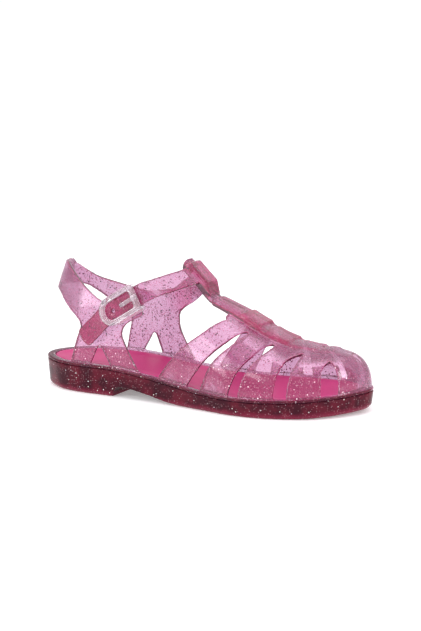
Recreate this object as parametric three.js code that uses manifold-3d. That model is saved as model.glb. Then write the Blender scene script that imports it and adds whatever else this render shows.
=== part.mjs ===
// A jelly sandal for the right foot: outsole, insole, moulded cage upper and buckle.
// Millimetres. +X points to the toe, +Y to the medial side, +Z up, and the ground is z = 0.
import * as THREE from 'three';
import { mergeVertices } from 'three/addons/utils/BufferGeometryUtils.js';
import Module from 'manifold-3d';

const wasm = await Module();
wasm.setup();

// Sole
const soleLength = 250;
const soleWidth = 86.6; // across the ball
const toeSwing = 8.6; // how far the outline's centre moves to the medial side at the toe
const heelRimHeight = 21.6;
const foreRimHeight = 12.8;
const toeRimRise = 4; // extra rim height at the tip of the toe
const toeRimStart = 0.7; // where the rim begins to rise, as a share of the length
const toeSpring = 3; // how far the tip of the sole stands off the ground
const toeSpringStart = 0.8; // where the underside leaves the ground
const heelBlockLength = 69;
const heelBreastRun = 7;
const archHeight = 7.6;
const archLength = 62; // from the heel's breast to where the forefoot meets the ground
const soleTaper = 1.2; // how much narrower the side wall gets on its way down
const bevelWidth = 2.4;
const bevelHeight = 2.4;
const rimWidth = 5.5;
const recessDepth = 5;
const insoleDrop = 0.4; // from the rim's top down to the insole's top
const insoleRound = 0.9; // width and height of the insole's rounded edge
const clearance = 0.3; // between pieces that touch

// Upper
const wall = 2.4;
const weltThickness = 2;
const upperInset = 1; // from the sole's edge to the outside of the straps
const instepHeight = 95;
const vampSquareness = 2.25;
const strapSkew = 15; // how far the medial ends of the cross straps lie ahead of the lateral ones
const quarterSkew = 11;
const spineHeight = 2.6;
const spineAngle = 15; // half of the spine's width, as an angle on the vamp
const padHeight = 2; // above the spine
const padSlope = 1.6;
const heelTopHeight = 88.5;
const ankleWidth = 60;
const heelRound = 44; // length of the rounded rear of the heel cup

// Ankle strap, loop and buckle
const strapWidth = 14;
const strapThickness = 2.2;
const strapHoleRadius = 1.6;
const strapHolePitch = 9;
const tongueThickness = 3;
const tongueSlope = 44; // degrees, where the tongue carries the strap
const tongueX = -2.6;
const tongueZ = 85.8;
const tongueWidth = 14.2;
const tongueCrown = 1.2; // how far its edges lie below its middle, ahead of the loop
const tabLength = 4.4;
const bridgeRoof = 2.6;
const bridgeFront = 11.5; // from the strap's middle to the end of the bridge's flat top
const bridgeToe = 8; // length of the slope that ends the bridge
const ringLength = 33.5;
const ringRail = 2.3;
const ringFrontBar = 4;
const ringRearBar = 3.8;
const ringTop = 2.3;
const barThickness = 2.2;
const barWidth = 2.4;
const prongShank = 1.6; // length along the strap of the leg that stands in the hole
const prongWidth = 2.6;
const prongThickness = 1.7;
const buckleX = -43.5;
const buckleZ = 65.2;
const buckleInset = 0.4; // from the widest line of the heel cup in to the back of the ring
const buckleSlope = 31; // degrees, rise of the strap through the ring
const buckleLean = 9; // degrees, how far the ring's face looks up
const tailSlope = 44; // degrees
const tailLength = 25; // behind the ring

const heelX = -soleLength / 2;
const toeX = soleLength / 2;
const degrees = Math.PI / 180;

// The sole's outline: the centre as a share of toeSwing, the width as a share of soleWidth.
const outlineRows = [
  { along: 0, centre: 0, width: 0.554 },
  { along: 0.05, centre: 0, width: 0.612 },
  { along: 0.1, centre: 0, width: 0.688 },
  { along: 0.18, centre: 0, width: 0.723 },
  { along: 0.3, centre: -0.1, width: 0.714 },
  { along: 0.4, centre: -0.26, width: 0.714 },
  { along: 0.5, centre: -0.34, width: 0.771 },
  { along: 0.6, centre: -0.27, width: 0.882 },
  { along: 0.68, centre: -0.17, width: 0.975 },
  { along: 0.75, centre: 0, width: 1 },
  { along: 0.82, centre: 0.21, width: 0.97 },
  { along: 0.9, centre: 0.49, width: 0.901 },
  { along: 0.95, centre: 0.73, width: 0.79 },
  { along: 1, centre: 1, width: 0.6 },
];
const heelSquareness = 8.5;
const toeSquareness = 6;

// The top line of the vamp: height as a share of instepHeight.
const ridgeRows = [
  { along: 0.38, up: 1 },
  { along: 0.5, up: 0.82 },
  { along: 0.547, up: 0.748 },
  { along: 0.594, up: 0.696 },
  { along: 0.641, up: 0.644 },
  { along: 0.68, up: 0.589 },
  { along: 0.708, up: 0.553 },
  { along: 0.755, up: 0.495 },
  { along: 0.798, up: 0.463 },
  { along: 0.861, up: 0.445 },
  { along: 0.892, up: 0.446 },
  { along: 1, up: 0.458 },
];

// The gaps between the cross straps, on the lateral side. The stations are shares of soleLength:
// at the rim, low, high and at the top of the gap. The angles are measured from the top line.
const gapRows = [
  { rear: [0.29, 0.29, 0.29, 0.29], front: [0.432, 0.498, 0.577, 0.628], top: 19, round: 0.05 },
  { rear: [0.532, 0.583, 0.646, 0.676], front: [0.578, 0.609, 0.664, 0.691], top: 23, round: 0.12 },
  { rear: [0.671, 0.692, 0.726, 0.745], front: [0.702, 0.716, 0.743, 0.766], top: 20, round: 0.2 },
  { rear: [0.801, 0.803, 0.808, 0.83], front: [0.835, 0.837, 0.84, 0.845], top: 23, round: 0.25 },
  { rear: [0.914, 0.912, 0.906, 0.909], front: [0.948, 0.947, 0.936, 0.925], top: 33, round: 0.35 },
];
const gapAngles = [90, 70, 45];
const gapTip = 0.06; // width left at the very top of a gap, as a share of its width
const skewEnds = { full: 0.76, none: 0.96 }; // where the skew starts to fade and where it is gone

// The raised pads where the straps cross the spine.
const padRows = [
  { rear: 0.652, front: 0.704, height: 1 },
  { rear: 0.724, front: 0.786, height: 0.85 },
  { rear: 0.804, front: 0.862, height: 0.6 },
  { rear: 0.878, front: 0.904, height: 0.4 },
];

// The tongue of the T-bar ahead of the loop: top line and half width as a share of tongueWidth.
const tongueRows = [
  { along: 0.532, up: 0.79, half: 0.53 },
  { along: 0.552, up: 0.747, half: 0.58 },
  { along: 0.58, up: 0.716, half: 0.66 },
  { along: 0.625, up: 0.666, half: 0.73 },
  { along: 0.66, up: 0.617, half: 0.66 },
];

// The heel cup: how far its rear leans in and its half width, as shares of ankleWidth.
const cupRows = [
  { up: 0.1, rear: 0.01, half: 0.5 },
  { up: 0.25, rear: 0.025, half: 0.498 },
  { up: 0.5, rear: 0.09, half: 0.488 },
  { up: 0.68, rear: 0.13, half: 0.458 },
  { up: 0.85, rear: 0.2, half: 0.408 },
  { up: 1.05, rear: 0.31, half: 0.35 },
];

// The side outline of the lateral quarter and its half of the heel band: along as a share of
// soleLength, up as a share of heelTopHeight, and how much of quarterSkew the medial side takes.
const quarterRows = [
  { run: 'top', along: -0.03, up: 1.015, skew: 0 },
  { run: 'top', along: 0.02, up: 1.015, skew: 0 },
  { run: 'top', along: 0.05, up: 1.015, skew: 0 },
  { run: 'top', along: 0.075, up: 1.018, skew: -0.3 },
  { run: 'top', along: 0.098, up: 1.008, skew: -0.6 },
  { run: 'top', along: 0.124, up: 0.966, skew: -1.15 },
  { run: 'top', along: 0.155, up: 0.902, skew: -1.46 },
  { run: 'top', along: 0.188, up: 0.833, skew: -1.36 },
  { run: 'top', along: 0.233, up: 0.76, skew: 0 },
  { run: 'top', along: 0.273, up: 0.752, skew: 0.2 },
  { run: 'top', along: 0.312, up: 0.79, skew: 1 },
  { run: 'top', along: 0.351, up: 0.84, skew: 1 },
  { run: 'top', along: 0.376, up: 0.82, skew: 1 },
  { run: 'front', along: 0.381, up: 0.675, skew: 0.64 },
  { run: 'front', along: 0.331, up: 0.598, skew: 1 },
  { run: 'front', along: 0.314, up: 0.524, skew: 1.24 },
  { run: 'front', along: 0.323, up: 0.442, skew: 1.13 },
  { run: 'front', along: 0.354, up: 0.29, skew: 1.05 },
  { run: 'front', along: 0.38, up: 0.19, skew: 1 },
  { run: 'rear', along: 0.135, up: 0.19, skew: 1 },
  { run: 'rear', along: 0.153, up: 0.363, skew: 0.9 },
  { run: 'rear', along: 0.167, up: 0.475, skew: 0.8 },
  { run: 'rear', along: 0.175, up: 0.54, skew: 0.6 },
  { run: 'rear', along: 0.166, up: 0.593, skew: 0.3 },
  { run: 'rear', along: 0.139, up: 0.65, skew: 0 },
  { run: 'rear', along: 0.108, up: 0.718, skew: 0 },
  { run: 'rear', along: 0.069, up: 0.79, skew: 0 },
  { run: 'rear', along: -0.03, up: 0.83, skew: 0 },
];
const cutoutRows = [
  { along: 0.238, up: 0.426, skew: 1 },
  { along: 0.285, up: 0.2, skew: 0.6 },
  { along: 0.2, up: 0.2, skew: 0.75 },
];
const cutoutRound = 3;

const rise = (share) => heelX + share * soleLength;
const station = (x) => (x - heelX) / soleLength;
const clamp01 = (value) => Math.min(1, Math.max(0, value));
const smooth = (value) => clamp01(value) ** 2 * (3 - 2 * clamp01(value));
const mix = (a, b, share) => a + (b - a) * share;

// A smooth curve that runs through the rows without swinging past them.
function curveThrough(xs, ys) {
  const slopes = xs.slice(1).map((x, i) => (ys[i + 1] - ys[i]) / (x - xs[i]));
  const tangents = xs.map((_, i) => {
    if (i === 0 || i === xs.length - 1) return slopes[Math.min(i, slopes.length - 1)];
    const product = slopes[i - 1] * slopes[i];
    return product <= 0 ? 0 : (2 * product) / (slopes[i - 1] + slopes[i]);
  });
  return (x) => {
    let i = 0;
    while (i < xs.length - 2 && x > xs[i + 1]) i += 1;
    const span = xs[i + 1] - xs[i];
    const t = Math.min(1, Math.max(0, (x - xs[i]) / span));
    return (
      ys[i] * (1 + 2 * t) * (1 - t) ** 2 +
      ys[i + 1] * t * t * (3 - 2 * t) +
      span * t * (1 - t) * (tangents[i] * (1 - t) - tangents[i + 1] * t)
    );
  };
}

const column = (rows, name) => rows.map((row) => row[name]);
const rowCurve = (rows, key, name) => curveThrough(column(rows, key), column(rows, name));

const centreShare = rowCurve(outlineRows, 'along', 'centre');
const widthShare = rowCurve(outlineRows, 'along', 'width');
const ridgeShare = rowCurve(ridgeRows, 'along', 'up');
const centreAt = (x) => toeSwing * centreShare(station(x));
const halfWidthAt = (x) => (soleWidth / 2) * widthShare(station(x));
const ridgeAt = (x) => instepHeight * ridgeShare(station(x));

function rimTopAt(x) {
  const s = station(x);
  const step = mix(heelRimHeight, foreRimHeight, smooth((s - 0.22) / 0.44));
  return step + toeRimRise * clamp01((s - toeRimStart) / (1 - toeRimStart)) ** 2;
}

const groundAt = (x) => toeSpring * clamp01((station(x) - toeSpringStart) / (1 - toeSpringStart)) ** 2;

// Solids from rings of points. Point i of a ring faces point n-1-i, which lets a ladder of
// triangles close the first and the last ring.
function solidFromRings(rings, { endless = false } = {}) {
  const n = rings[0].length;
  const positions = rings.flat().flatMap((p) => [p.x, p.y, p.z]);
  const indices = [];
  const quad = (a, b, c, d) => indices.push(a, b, c, a, c, d);
  const last = endless ? rings.length : rings.length - 1;
  for (let k = 0; k < last; k += 1) {
    const here = k * n;
    const next = ((k + 1) % rings.length) * n;
    for (let i = 0; i < n; i += 1) {
      const j = (i + 1) % n;
      quad(here + i, here + j, next + j, next + i);
    }
  }
  if (!endless) {
    const end = (rings.length - 1) * n;
    for (let i = 0; i < n / 2 - 1; i += 1) {
      quad(n - 1 - i, n - 2 - i, i + 1, i);
      quad(end + i, end + i + 1, end + n - 2 - i, end + n - 1 - i);
    }
  }
  const geometry = new THREE.BufferGeometry();
  geometry.setAttribute('position', new THREE.Float32BufferAttribute(positions, 3));
  geometry.setIndex(indices);
  return solidFromGeometry(geometry);
}

function solidFromGeometry(geometry) {
  const bare = geometry.clone();
  bare.deleteAttribute('normal');
  bare.deleteAttribute('uv');
  const merged = mergeVertices(bare, 1e-4);
  const corners = merged.attributes.position.array;
  const triangles = Uint32Array.from(merged.index.array);
  if (signedVolume(corners, triangles) < 0) {
    for (let i = 0; i < triangles.length; i += 3) {
      [triangles[i], triangles[i + 1]] = [triangles[i + 1], triangles[i]];
    }
  }
  const mesh = new wasm.Mesh({ numProp: 3, vertProperties: corners, triVerts: triangles });
  return new wasm.Manifold(mesh);
}

function signedVolume(corners, triangles) {
  const point = (i) => new THREE.Vector3().fromArray(corners, 3 * triangles[i]);
  let volume = 0;
  for (let i = 0; i < triangles.length; i += 3) {
    volume += point(i).dot(point(i + 1).cross(point(i + 2))) / 6;
  }
  return volume;
}

function geometryFromSolid(solid) {
  const mesh = solid.getMesh();
  const geometry = new THREE.BufferGeometry();
  const corners = new Float32Array(mesh.vertProperties);
  geometry.setAttribute('position', new THREE.BufferAttribute(corners, 3));
  geometry.setIndex(Array.from(mesh.triVerts));
  geometry.computeVertexNormals();
  return geometry;
}

const joinAll = (solids) => solids.reduce((whole, solid) => whole.add(solid));
const point = (x, y, z) => new THREE.Vector3(x, y, z);

// A flat side outline in x and z, extruded across the sandal from y = from to y = to.
function sidePrism(shape, from, to) {
  const geometry = new THREE.ExtrudeGeometry(shape, {
    depth: to - from,
    bevelEnabled: false,
    curveSegments: 5,
  });
  geometry.rotateX(Math.PI / 2);
  geometry.translate(0, to, 0);
  return solidFromGeometry(geometry);
}

// Sole outline
const outlineSteps = 72;

function outlinePoint(index, inset) {
  const turn = ((index + 0.5) / outlineSteps) * 2 * Math.PI;
  const edge = (angle) => {
    const x = heelX + (soleLength / 2) * (1 - Math.cos(angle));
    const reach = Math.abs(x / toeX);
    const squareness = x < 0 ? heelSquareness : toeSquareness;
    const half = halfWidthAt(x) * Math.sqrt(Math.max(0, 1 - reach ** squareness));
    return point(x, centreAt(x) - Math.sign(Math.sin(angle)) * half, 0);
  };
  const step = 0.004;
  const here = edge(turn);
  const ahead = edge(Math.min(turn + step, turn < Math.PI ? Math.PI : 2 * Math.PI));
  const behind = edge(Math.max(turn - step, turn < Math.PI ? 0 : Math.PI));
  const tangent = ahead.sub(behind).normalize();
  return here.add(point(-tangent.y, tangent.x, 0).multiplyScalar(inset));
}

function outlineRing(inset, heightAt) {
  return Array.from({ length: outlineSteps }, (_, index) => {
    const spot = outlinePoint(index, inset);
    return spot.setZ(heightAt(spot.x));
  });
}

const soleTopAt = (x) => rimTopAt(x) - weltThickness - clearance;

function makeOutsole() {
  const body = solidFromRings([
    outlineRing(soleTaper + bevelWidth, groundAt),
    outlineRing(soleTaper, (x) => groundAt(x) + bevelHeight),
    outlineRing(0, soleTopAt),
    outlineRing(rimWidth, soleTopAt),
    outlineRing(rimWidth, (x) => rimTopAt(x) - recessDepth),
  ]);
  const breast = heelX + heelBlockLength;
  const arch = new THREE.Shape();
  arch.moveTo(breast, -1);
  arch.lineTo(breast, 0);
  arch.quadraticCurveTo(breast + 0.3 * heelBreastRun, archHeight, breast + heelBreastRun, archHeight);
  const run = archLength - heelBreastRun;
  const start = breast + heelBreastRun;
  arch.bezierCurveTo(
    start + 0.35 * run, archHeight, start + 0.6 * run, 0.12 * archHeight, start + run, 0,
  );
  arch.lineTo(breast + archLength, -1);
  return body.subtract(sidePrism(arch, -soleWidth, soleWidth));
}

function makeInsole() {
  const inset = rimWidth + clearance;
  const bottomAt = (x) => rimTopAt(x) - recessDepth + clearance;
  return solidFromRings([
    outlineRing(inset, bottomAt),
    outlineRing(inset, (x) => rimTopAt(x) - insoleDrop - insoleRound),
    outlineRing(inset + insoleRound, (x) => rimTopAt(x) - insoleDrop),
  ]);
}

// Vamp: a point at station x and at an angle from the top line, negative to the lateral side,
// moved out from the upper's outer face by `out`.
function vampPoint(x, angle, out = 0) {
  const tip = toeX - upperInset + out;
  const reach = Math.min(1, Math.max(0, x / tip));
  const half = (halfWidthAt(x) - upperInset + out) * Math.sqrt(1 - reach ** toeSquareness);
  const height = (ridgeAt(x) - rimTopAt(x) + out) * Math.sqrt(1 - reach ** (2 * toeSquareness));
  const cos = Math.cos(angle * degrees);
  const sin = Math.sin(angle * degrees);
  const n = vampSquareness;
  const radius = (Math.abs(cos) ** n + Math.abs(sin) ** n) ** (-1 / n);
  return point(x, centreAt(x) + half * radius * sin, rimTopAt(x) + height * radius * cos);
}

function vampSection(x, out, depth) {
  const steps = 9;
  const arch = Array.from({ length: 2 * steps + 1 }, (_, i) =>
    vampPoint(x, (90 * (i - steps)) / steps, out));
  const lateral = arch[0].clone().setZ(arch[0].z - depth);
  const medial = arch[2 * steps].clone().setZ(arch[2 * steps].z - depth);
  arch.splice(steps, 1, vampPoint(x, -90 / steps / 3, out), vampPoint(x, 90 / steps / 3, out));
  return [lateral, ...arch, medial];
}

function vampSolid(out, depth, rear) {
  const count = 18;
  const tip = toeX - upperInset + out - 0.02;
  const sections = Array.from({ length: count + 1 }, (_, i) => {
    const turn = (i / count) * (Math.PI / 2);
    return vampSection(mix(rear, tip, Math.sin(turn)), out, depth);
  });
  return solidFromRings(sections);
}

// How far a feature of the medial side lies ahead of its lateral twin.
function skewAt(x, angle) {
  const fade = 1 - smooth((station(x) - skewEnds.full) / (skewEnds.none - skewEnds.full));
  return strapSkew * fade * clamp01((Math.abs(angle) - 20) / 70);
}

const cutterReach = 5; // how far a gap's cutter stands past both faces of the shell

function gapCutter(row, side) {
  const angles = [...gapAngles, row.top];
  const order = angles.map((angle) => -angle);
  const rearAt = curveThrough(order, row.rear);
  const frontAt = curveThrough(order, row.front);
  const steps = 9;
  const across = 2;
  const rings = Array.from({ length: steps + 1 }, (_, k) => {
    const share = 1 - (1 - k / steps) ** 1.35;
    const angle = mix(-90, -row.top, share);
    const left = 1 - share;
    const open = left < row.round ? Math.sqrt(1 - (1 - left / row.round) ** 2) : 1;
    const middle = (rearAt(angle) + frontAt(angle)) / 2;
    const half = (Math.max(gapTip, open) * (frontAt(angle) - rearAt(angle))) / 2;
    const acrossRow = (out) => Array.from({ length: across + 1 }, (_, i) => {
      const lateral = rise(middle + half * ((2 * i) / across - 1));
      const x = lateral + (side > 0 ? skewAt(lateral, angle) : 0);
      const spot = vampPoint(x, side * Math.abs(angle), out);
      return k === 0 ? spot.setZ(spot.z - weltThickness / 4) : spot;
    });
    return [...acrossRow(cutterReach), ...acrossRow(-wall - cutterReach).reverse()];
  });
  return solidFromRings(rings);
}

// A strip that runs along the top line of the vamp, between two angles and two heights.
function spineBand(rows, angle) {
  const across = 4;
  return solidFromRings(rows.map(({ x, raise }) => {
    const arc = (out) => Array.from({ length: across + 1 }, (_, i) =>
      vampPoint(x, angle * ((2 * i) / across - 1), out));
    return [...arc(raise), ...arc(-wall / 2).reverse()];
  }));
}

const spineStart = rise(0.56);
const spineEnd = rise(0.91);
const spineFade = 0.85; // how much of the spine's height is gone where it meets the toe cap

function spineRaise(x) {
  const share = smooth((x - spineStart) / (spineEnd - spineStart));
  return spineHeight * (1 - spineFade * share ** 2);
}

function makeSpine() {
  const count = 12;
  const rows = Array.from({ length: count + 1 }, (_, i) => {
    const x = mix(spineStart, spineEnd, i / count);
    return { x, raise: spineRaise(x) };
  });
  return spineBand(rows, spineAngle);
}

function makePads() {
  return padRows.map(({ rear, front, height }) => {
    const high = spineRaise(rise(front)) + padHeight * height;
    const low = spineRaise(rise(front)) - 0.2;
    return spineBand([
      { x: rise(rear) - padSlope, raise: low },
      { x: rise(rear), raise: high },
      { x: rise((rear + front) / 2), raise: high },
      { x: rise(front), raise: high },
      { x: rise(front) + padSlope, raise: low },
    ], spineAngle - 1.5);
  });
}

function makeWelt() {
  return solidFromRings([
    outlineRing(0, (x) => rimTopAt(x) - weltThickness),
    outlineRing(0, rimTopAt),
    outlineRing(rimWidth, rimTopAt),
    outlineRing(rimWidth, (x) => rimTopAt(x) - weltThickness),
  ], { endless: true });
}

// Tongue and bridge, in a frame that lies on the tongue where it carries the strap:
// `along` runs forward and down its slope, `off` stands away from it.
const slopeDirection = point(Math.cos(tongueSlope * degrees), 0, -Math.sin(tongueSlope * degrees));
const slopeNormal = point(Math.sin(tongueSlope * degrees), 0, Math.cos(tongueSlope * degrees));
const tongueSpot = (along, off) => point(tongueX, 0, tongueZ)
  .addScaledVector(slopeDirection, along)
  .addScaledVector(slopeNormal, off);
const slotLength = strapWidth + 4 * clearance;
const slotHeight = strapThickness + 2.5 * clearance;

function makeTongue() {
  const straight = [
    { spot: tongueSpot(-slotLength / 2 - tabLength, 0.75 * tabLength), half: 0.14 },
    { spot: tongueSpot(-slotLength / 2 - 0.8 * tabLength, 0.7 * tabLength), half: 0.32 },
    { spot: tongueSpot(-slotLength / 2 - 0.4 * tabLength, 0.5 * tabLength), half: 0.44 },
    { spot: tongueSpot(-slotLength / 2, 0), half: 0.5 },
    { spot: tongueSpot(slotLength / 2, 0), half: 0.5 },
  ];
  const bent = tongueRows.map(({ along, up, half }) => (
    { spot: point(rise(along), 0, up * instepHeight), half }
  ));
  const stops = [...straight, ...bent];
  return solidFromRings(stops.map(({ spot, half }, i) => {
    const before = stops[Math.max(0, i - 1)].spot;
    const after = stops[Math.min(stops.length - 1, i + 1)].spot;
    const run = after.clone().sub(before).normalize();
    const down = i < straight.length ? slopeNormal.clone() : point(-run.z, 0, run.x);
    const base = spot.clone().addScaledVector(down, -tongueThickness);
    const wide = half * tongueWidth;
    const edge = spot.clone().addScaledVector(down, i < straight.length ? 0 : -tongueCrown);
    return [
      spot.clone().setY(-wide / 2),
      edge.clone().setY(-wide),
      base.clone().setY(-wide),
      base.clone().setY(wide),
      edge.clone().setY(wide),
      spot.clone().setY(wide / 2),
    ];
  }));
}

function makeBridge() {
  const top = slotHeight + bridgeRoof;
  const foot = slotLength / 2 + 1.6;
  const profile = [
    [-foot, -tongueThickness / 2],
    [-foot + 0.2, 0.55 * top],
    [-foot + 2.4, top],
    [bridgeFront, top],
    [bridgeFront + bridgeToe, 0.2],
    [bridgeFront + bridgeToe, -tongueThickness / 2],
  ];
  const corners = profile.map(([along, off]) => tongueSpot(along, off));
  const shape = new THREE.Shape(corners.map((corner) => new THREE.Vector2(corner.x, corner.z)));
  const bridge = sidePrism(shape, -tongueWidth / 2, tongueWidth / 2);
  const mouth = [
    [-slotLength / 2, 0],
    [-slotLength / 2, slotHeight],
    [slotLength / 2, slotHeight],
    [slotLength / 2, 0],
  ].map(([along, off]) => tongueSpot(along, off));
  const opening = new THREE.Shape(mouth.map((corner) => new THREE.Vector2(corner.x, corner.z)));
  return bridge.subtract(sidePrism(opening, -tongueWidth, tongueWidth));
}

// Heel cup
const cupRear = rowCurve(cupRows, 'up', 'rear');
const cupHalf = rowCurve(cupRows, 'up', 'half');

function cupRing(z, out, frontX) {
  const up = z / heelTopHeight;
  const rear = heelX + ankleWidth * cupRear(up) - out;
  const half = ankleWidth * cupHalf(up) + out;
  const steps = 9;
  const edge = [];
  const straight = [frontX, -20, -45, -65];
  straight.forEach((x) => edge.push(point(x, half, z)));
  for (let i = 0; i < steps; i += 1) {
    const turn = ((steps - i - 0.5) / steps) * (Math.PI / 2);
    const x = rear + heelRound * (1 - Math.cos(turn) ** 0.92);
    edge.push(point(x, half * Math.sin(turn) ** 0.86, z));
  }
  const lateral = edge.map((p) => point(p.x, centreAt(p.x) - p.y, p.z));
  const medial = edge.map((p) => point(p.x, centreAt(p.x) + p.y, p.z)).reverse();
  return [...lateral, ...medial];
}

function cupSolid(out, frontX, lowest) {
  const heights = [lowest, 24, 34, 44, 54, 64, 74, 84, 94];
  return solidFromRings(heights.map((z) => cupRing(z, out, frontX)));
}

function sidePoint(row, side) {
  const shift = side > 0 ? quarterSkew * row.skew : 0;
  return new THREE.Vector2(rise(row.along) + shift, row.up * heelTopHeight);
}

function quarterShape(side) {
  const run = (name) => quarterRows.filter((row) => row.run === name).map((row) => sidePoint(row, side));
  const [first, ...top] = run('top');
  const [armCorner, ...front] = run('front');
  const [rearCorner, ...rear] = run('rear');
  const shape = new THREE.Shape();
  shape.moveTo(first.x, first.y);
  shape.splineThru(top);
  shape.lineTo(armCorner.x, armCorner.y);
  shape.splineThru(front);
  shape.lineTo(rearCorner.x, rearCorner.y);
  shape.splineThru(rear);
  return new THREE.Shape(shape.getSpacedPoints(72));
}

function cutoutShape(side) {
  const corners = cutoutRows.map((row) => sidePoint(row, side));
  const shape = new THREE.Shape();
  corners.forEach((corner, i) => {
    const before = corners[(i + 2) % 3].clone().sub(corner).setLength(cutoutRound * 1.6);
    const after = corners[(i + 1) % 3].clone().sub(corner).setLength(cutoutRound * 1.6);
    const enter = corner.clone().add(before);
    const leave = corner.clone().add(after);
    if (i === 0) shape.moveTo(enter.x, enter.y);
    else shape.lineTo(enter.x, enter.y);
    shape.quadraticCurveTo(corner.x, corner.y, leave.x, leave.y);
  });
  return shape;
}

function makeQuarters() {
  const reach = soleWidth;
  const cup = cupSolid(0, 14, 19.4).subtract(cupSolid(-wall, 18, 15));
  const lateral = sidePrism(quarterShape(-1), -reach, 0.05)
    .subtract(sidePrism(cutoutShape(-1), -reach, 0));
  const medial = sidePrism(quarterShape(1), -0.05, reach)
    .subtract(sidePrism(cutoutShape(1), 0, reach));
  return cup.intersect(lateral.add(medial));
}

// Buckle frame of reference: `along` runs up the strap towards the loop, `across` over its
// width and `off` away from the foot.
const ringAlong = point(Math.cos(buckleSlope * degrees), 0, Math.sin(buckleSlope * degrees));
const ringOff = point(0, -Math.cos(buckleLean * degrees), Math.sin(buckleLean * degrees));
ringOff.addScaledVector(ringAlong, -ringOff.dot(ringAlong)).normalize();
const ringAcross = ringOff.clone().cross(ringAlong);
const ringOrigin = point(buckleX, centreAt(buckleX) - (ankleWidth / 2 - buckleInset), buckleZ);
const ringSpot = (along, across, off) => ringOrigin.clone()
  .addScaledVector(ringAlong, along)
  .addScaledVector(ringAcross, across)
  .addScaledVector(ringOff, off);
const ringMatrix = new THREE.Matrix4()
  .makeBasis(ringAlong, ringAcross, ringOff)
  .setPosition(ringOrigin);
const strapLevel = barThickness + clearance; // the underside of the strap in the ring
const ringWidth = strapWidth + 2 * (ringRail + 2 * clearance);
const roofLevel = strapLevel + strapThickness + clearance;
const ringDepth = roofLevel + ringTop;

function ringBlock(along, across, off) {
  const [a0, a1] = along;
  const [c0, c1] = across;
  const [o0, o1] = off;
  const box = new THREE.BoxGeometry(a1 - a0, c1 - c0, o1 - o0);
  box.translate((a0 + a1) / 2, (c0 + c1) / 2, (o0 + o1) / 2);
  return solidFromGeometry(box.applyMatrix4(ringMatrix));
}

function ringCylinder(along, radius, offFrom, offTo) {
  const cylinder = new THREE.CylinderGeometry(radius, radius, offTo - offFrom, 16);
  cylinder.rotateX(Math.PI / 2);
  cylinder.translate(along, 0, (offFrom + offTo) / 2);
  return solidFromGeometry(cylinder.applyMatrix4(ringMatrix));
}

// A D-shaped outline: straight at the loop end and round at the tail end.
function ringOutline(front, rear, half) {
  const shape = new THREE.Shape();
  const corner = 0.22 * half;
  shape.moveTo(front, -half + corner);
  shape.lineTo(front, half - corner);
  shape.quadraticCurveTo(front, half, front - corner, half);
  shape.lineTo(rear + half, half);
  shape.absarc(rear + half, 0, half, Math.PI / 2, (3 * Math.PI) / 2, false);
  shape.lineTo(front - corner, -half);
  shape.quadraticCurveTo(front, -half, front, -half + corner);
  return shape;
}

function ringExtrusion(shape, from, to) {
  const options = { depth: to - from, bevelEnabled: false, curveSegments: 10 };
  const geometry = new THREE.ExtrudeGeometry(shape, options);
  geometry.translate(0, 0, from);
  return solidFromGeometry(geometry.applyMatrix4(ringMatrix));
}

const ringFront = ringLength / 2;
const prongTip = ringFront - 1.6;
const prongRear = barWidth / 2 + clearance;
const windowHalf = strapWidth / 2 - 2 * clearance;

function makeBuckleFrame() {
  const outer = ringExtrusion(ringOutline(ringFront, -ringFront, ringWidth / 2), 0, ringDepth);
  const window = ringOutline(ringFront - ringFrontBar, -ringFront + ringRearBar, windowHalf);
  const half = strapWidth / 2 + 2 * clearance;
  const corridor = ringBlock([-ringLength, ringLength], [-half, half], [-1, roofLevel]);
  const bar = ringBlock(
    [-barWidth / 2, barWidth / 2],
    [-half - ringRail / 2, half + ringRail / 2],
    [0, barThickness],
  );
  const notchHalf = prongWidth / 2 + clearance;
  const notch = ringBlock(
    [ringFront - ringFrontBar - 1, prongTip + clearance],
    [-notchHalf, notchHalf],
    [roofLevel - 1, roofLevel + prongThickness + clearance],
  );
  return outer
    .subtract(ringExtrusion(window, roofLevel - 1, ringDepth + 1))
    .subtract(corridor)
    .add(bar)
    .subtract(notch);
}

function makeBuckleProng() {
  const half = prongWidth / 2;
  const lie = roofLevel - clearance / 2;
  const legHalf = 0.35 * prongWidth;
  const leg = ringBlock([prongRear, prongRear + prongShank], [-legHalf, legHalf], [clearance, lie + 0.5]);
  const blade = ringBlock([prongRear, prongTip], [-half, half], [lie, lie + prongThickness]);
  return leg.add(blade);
}

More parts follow.
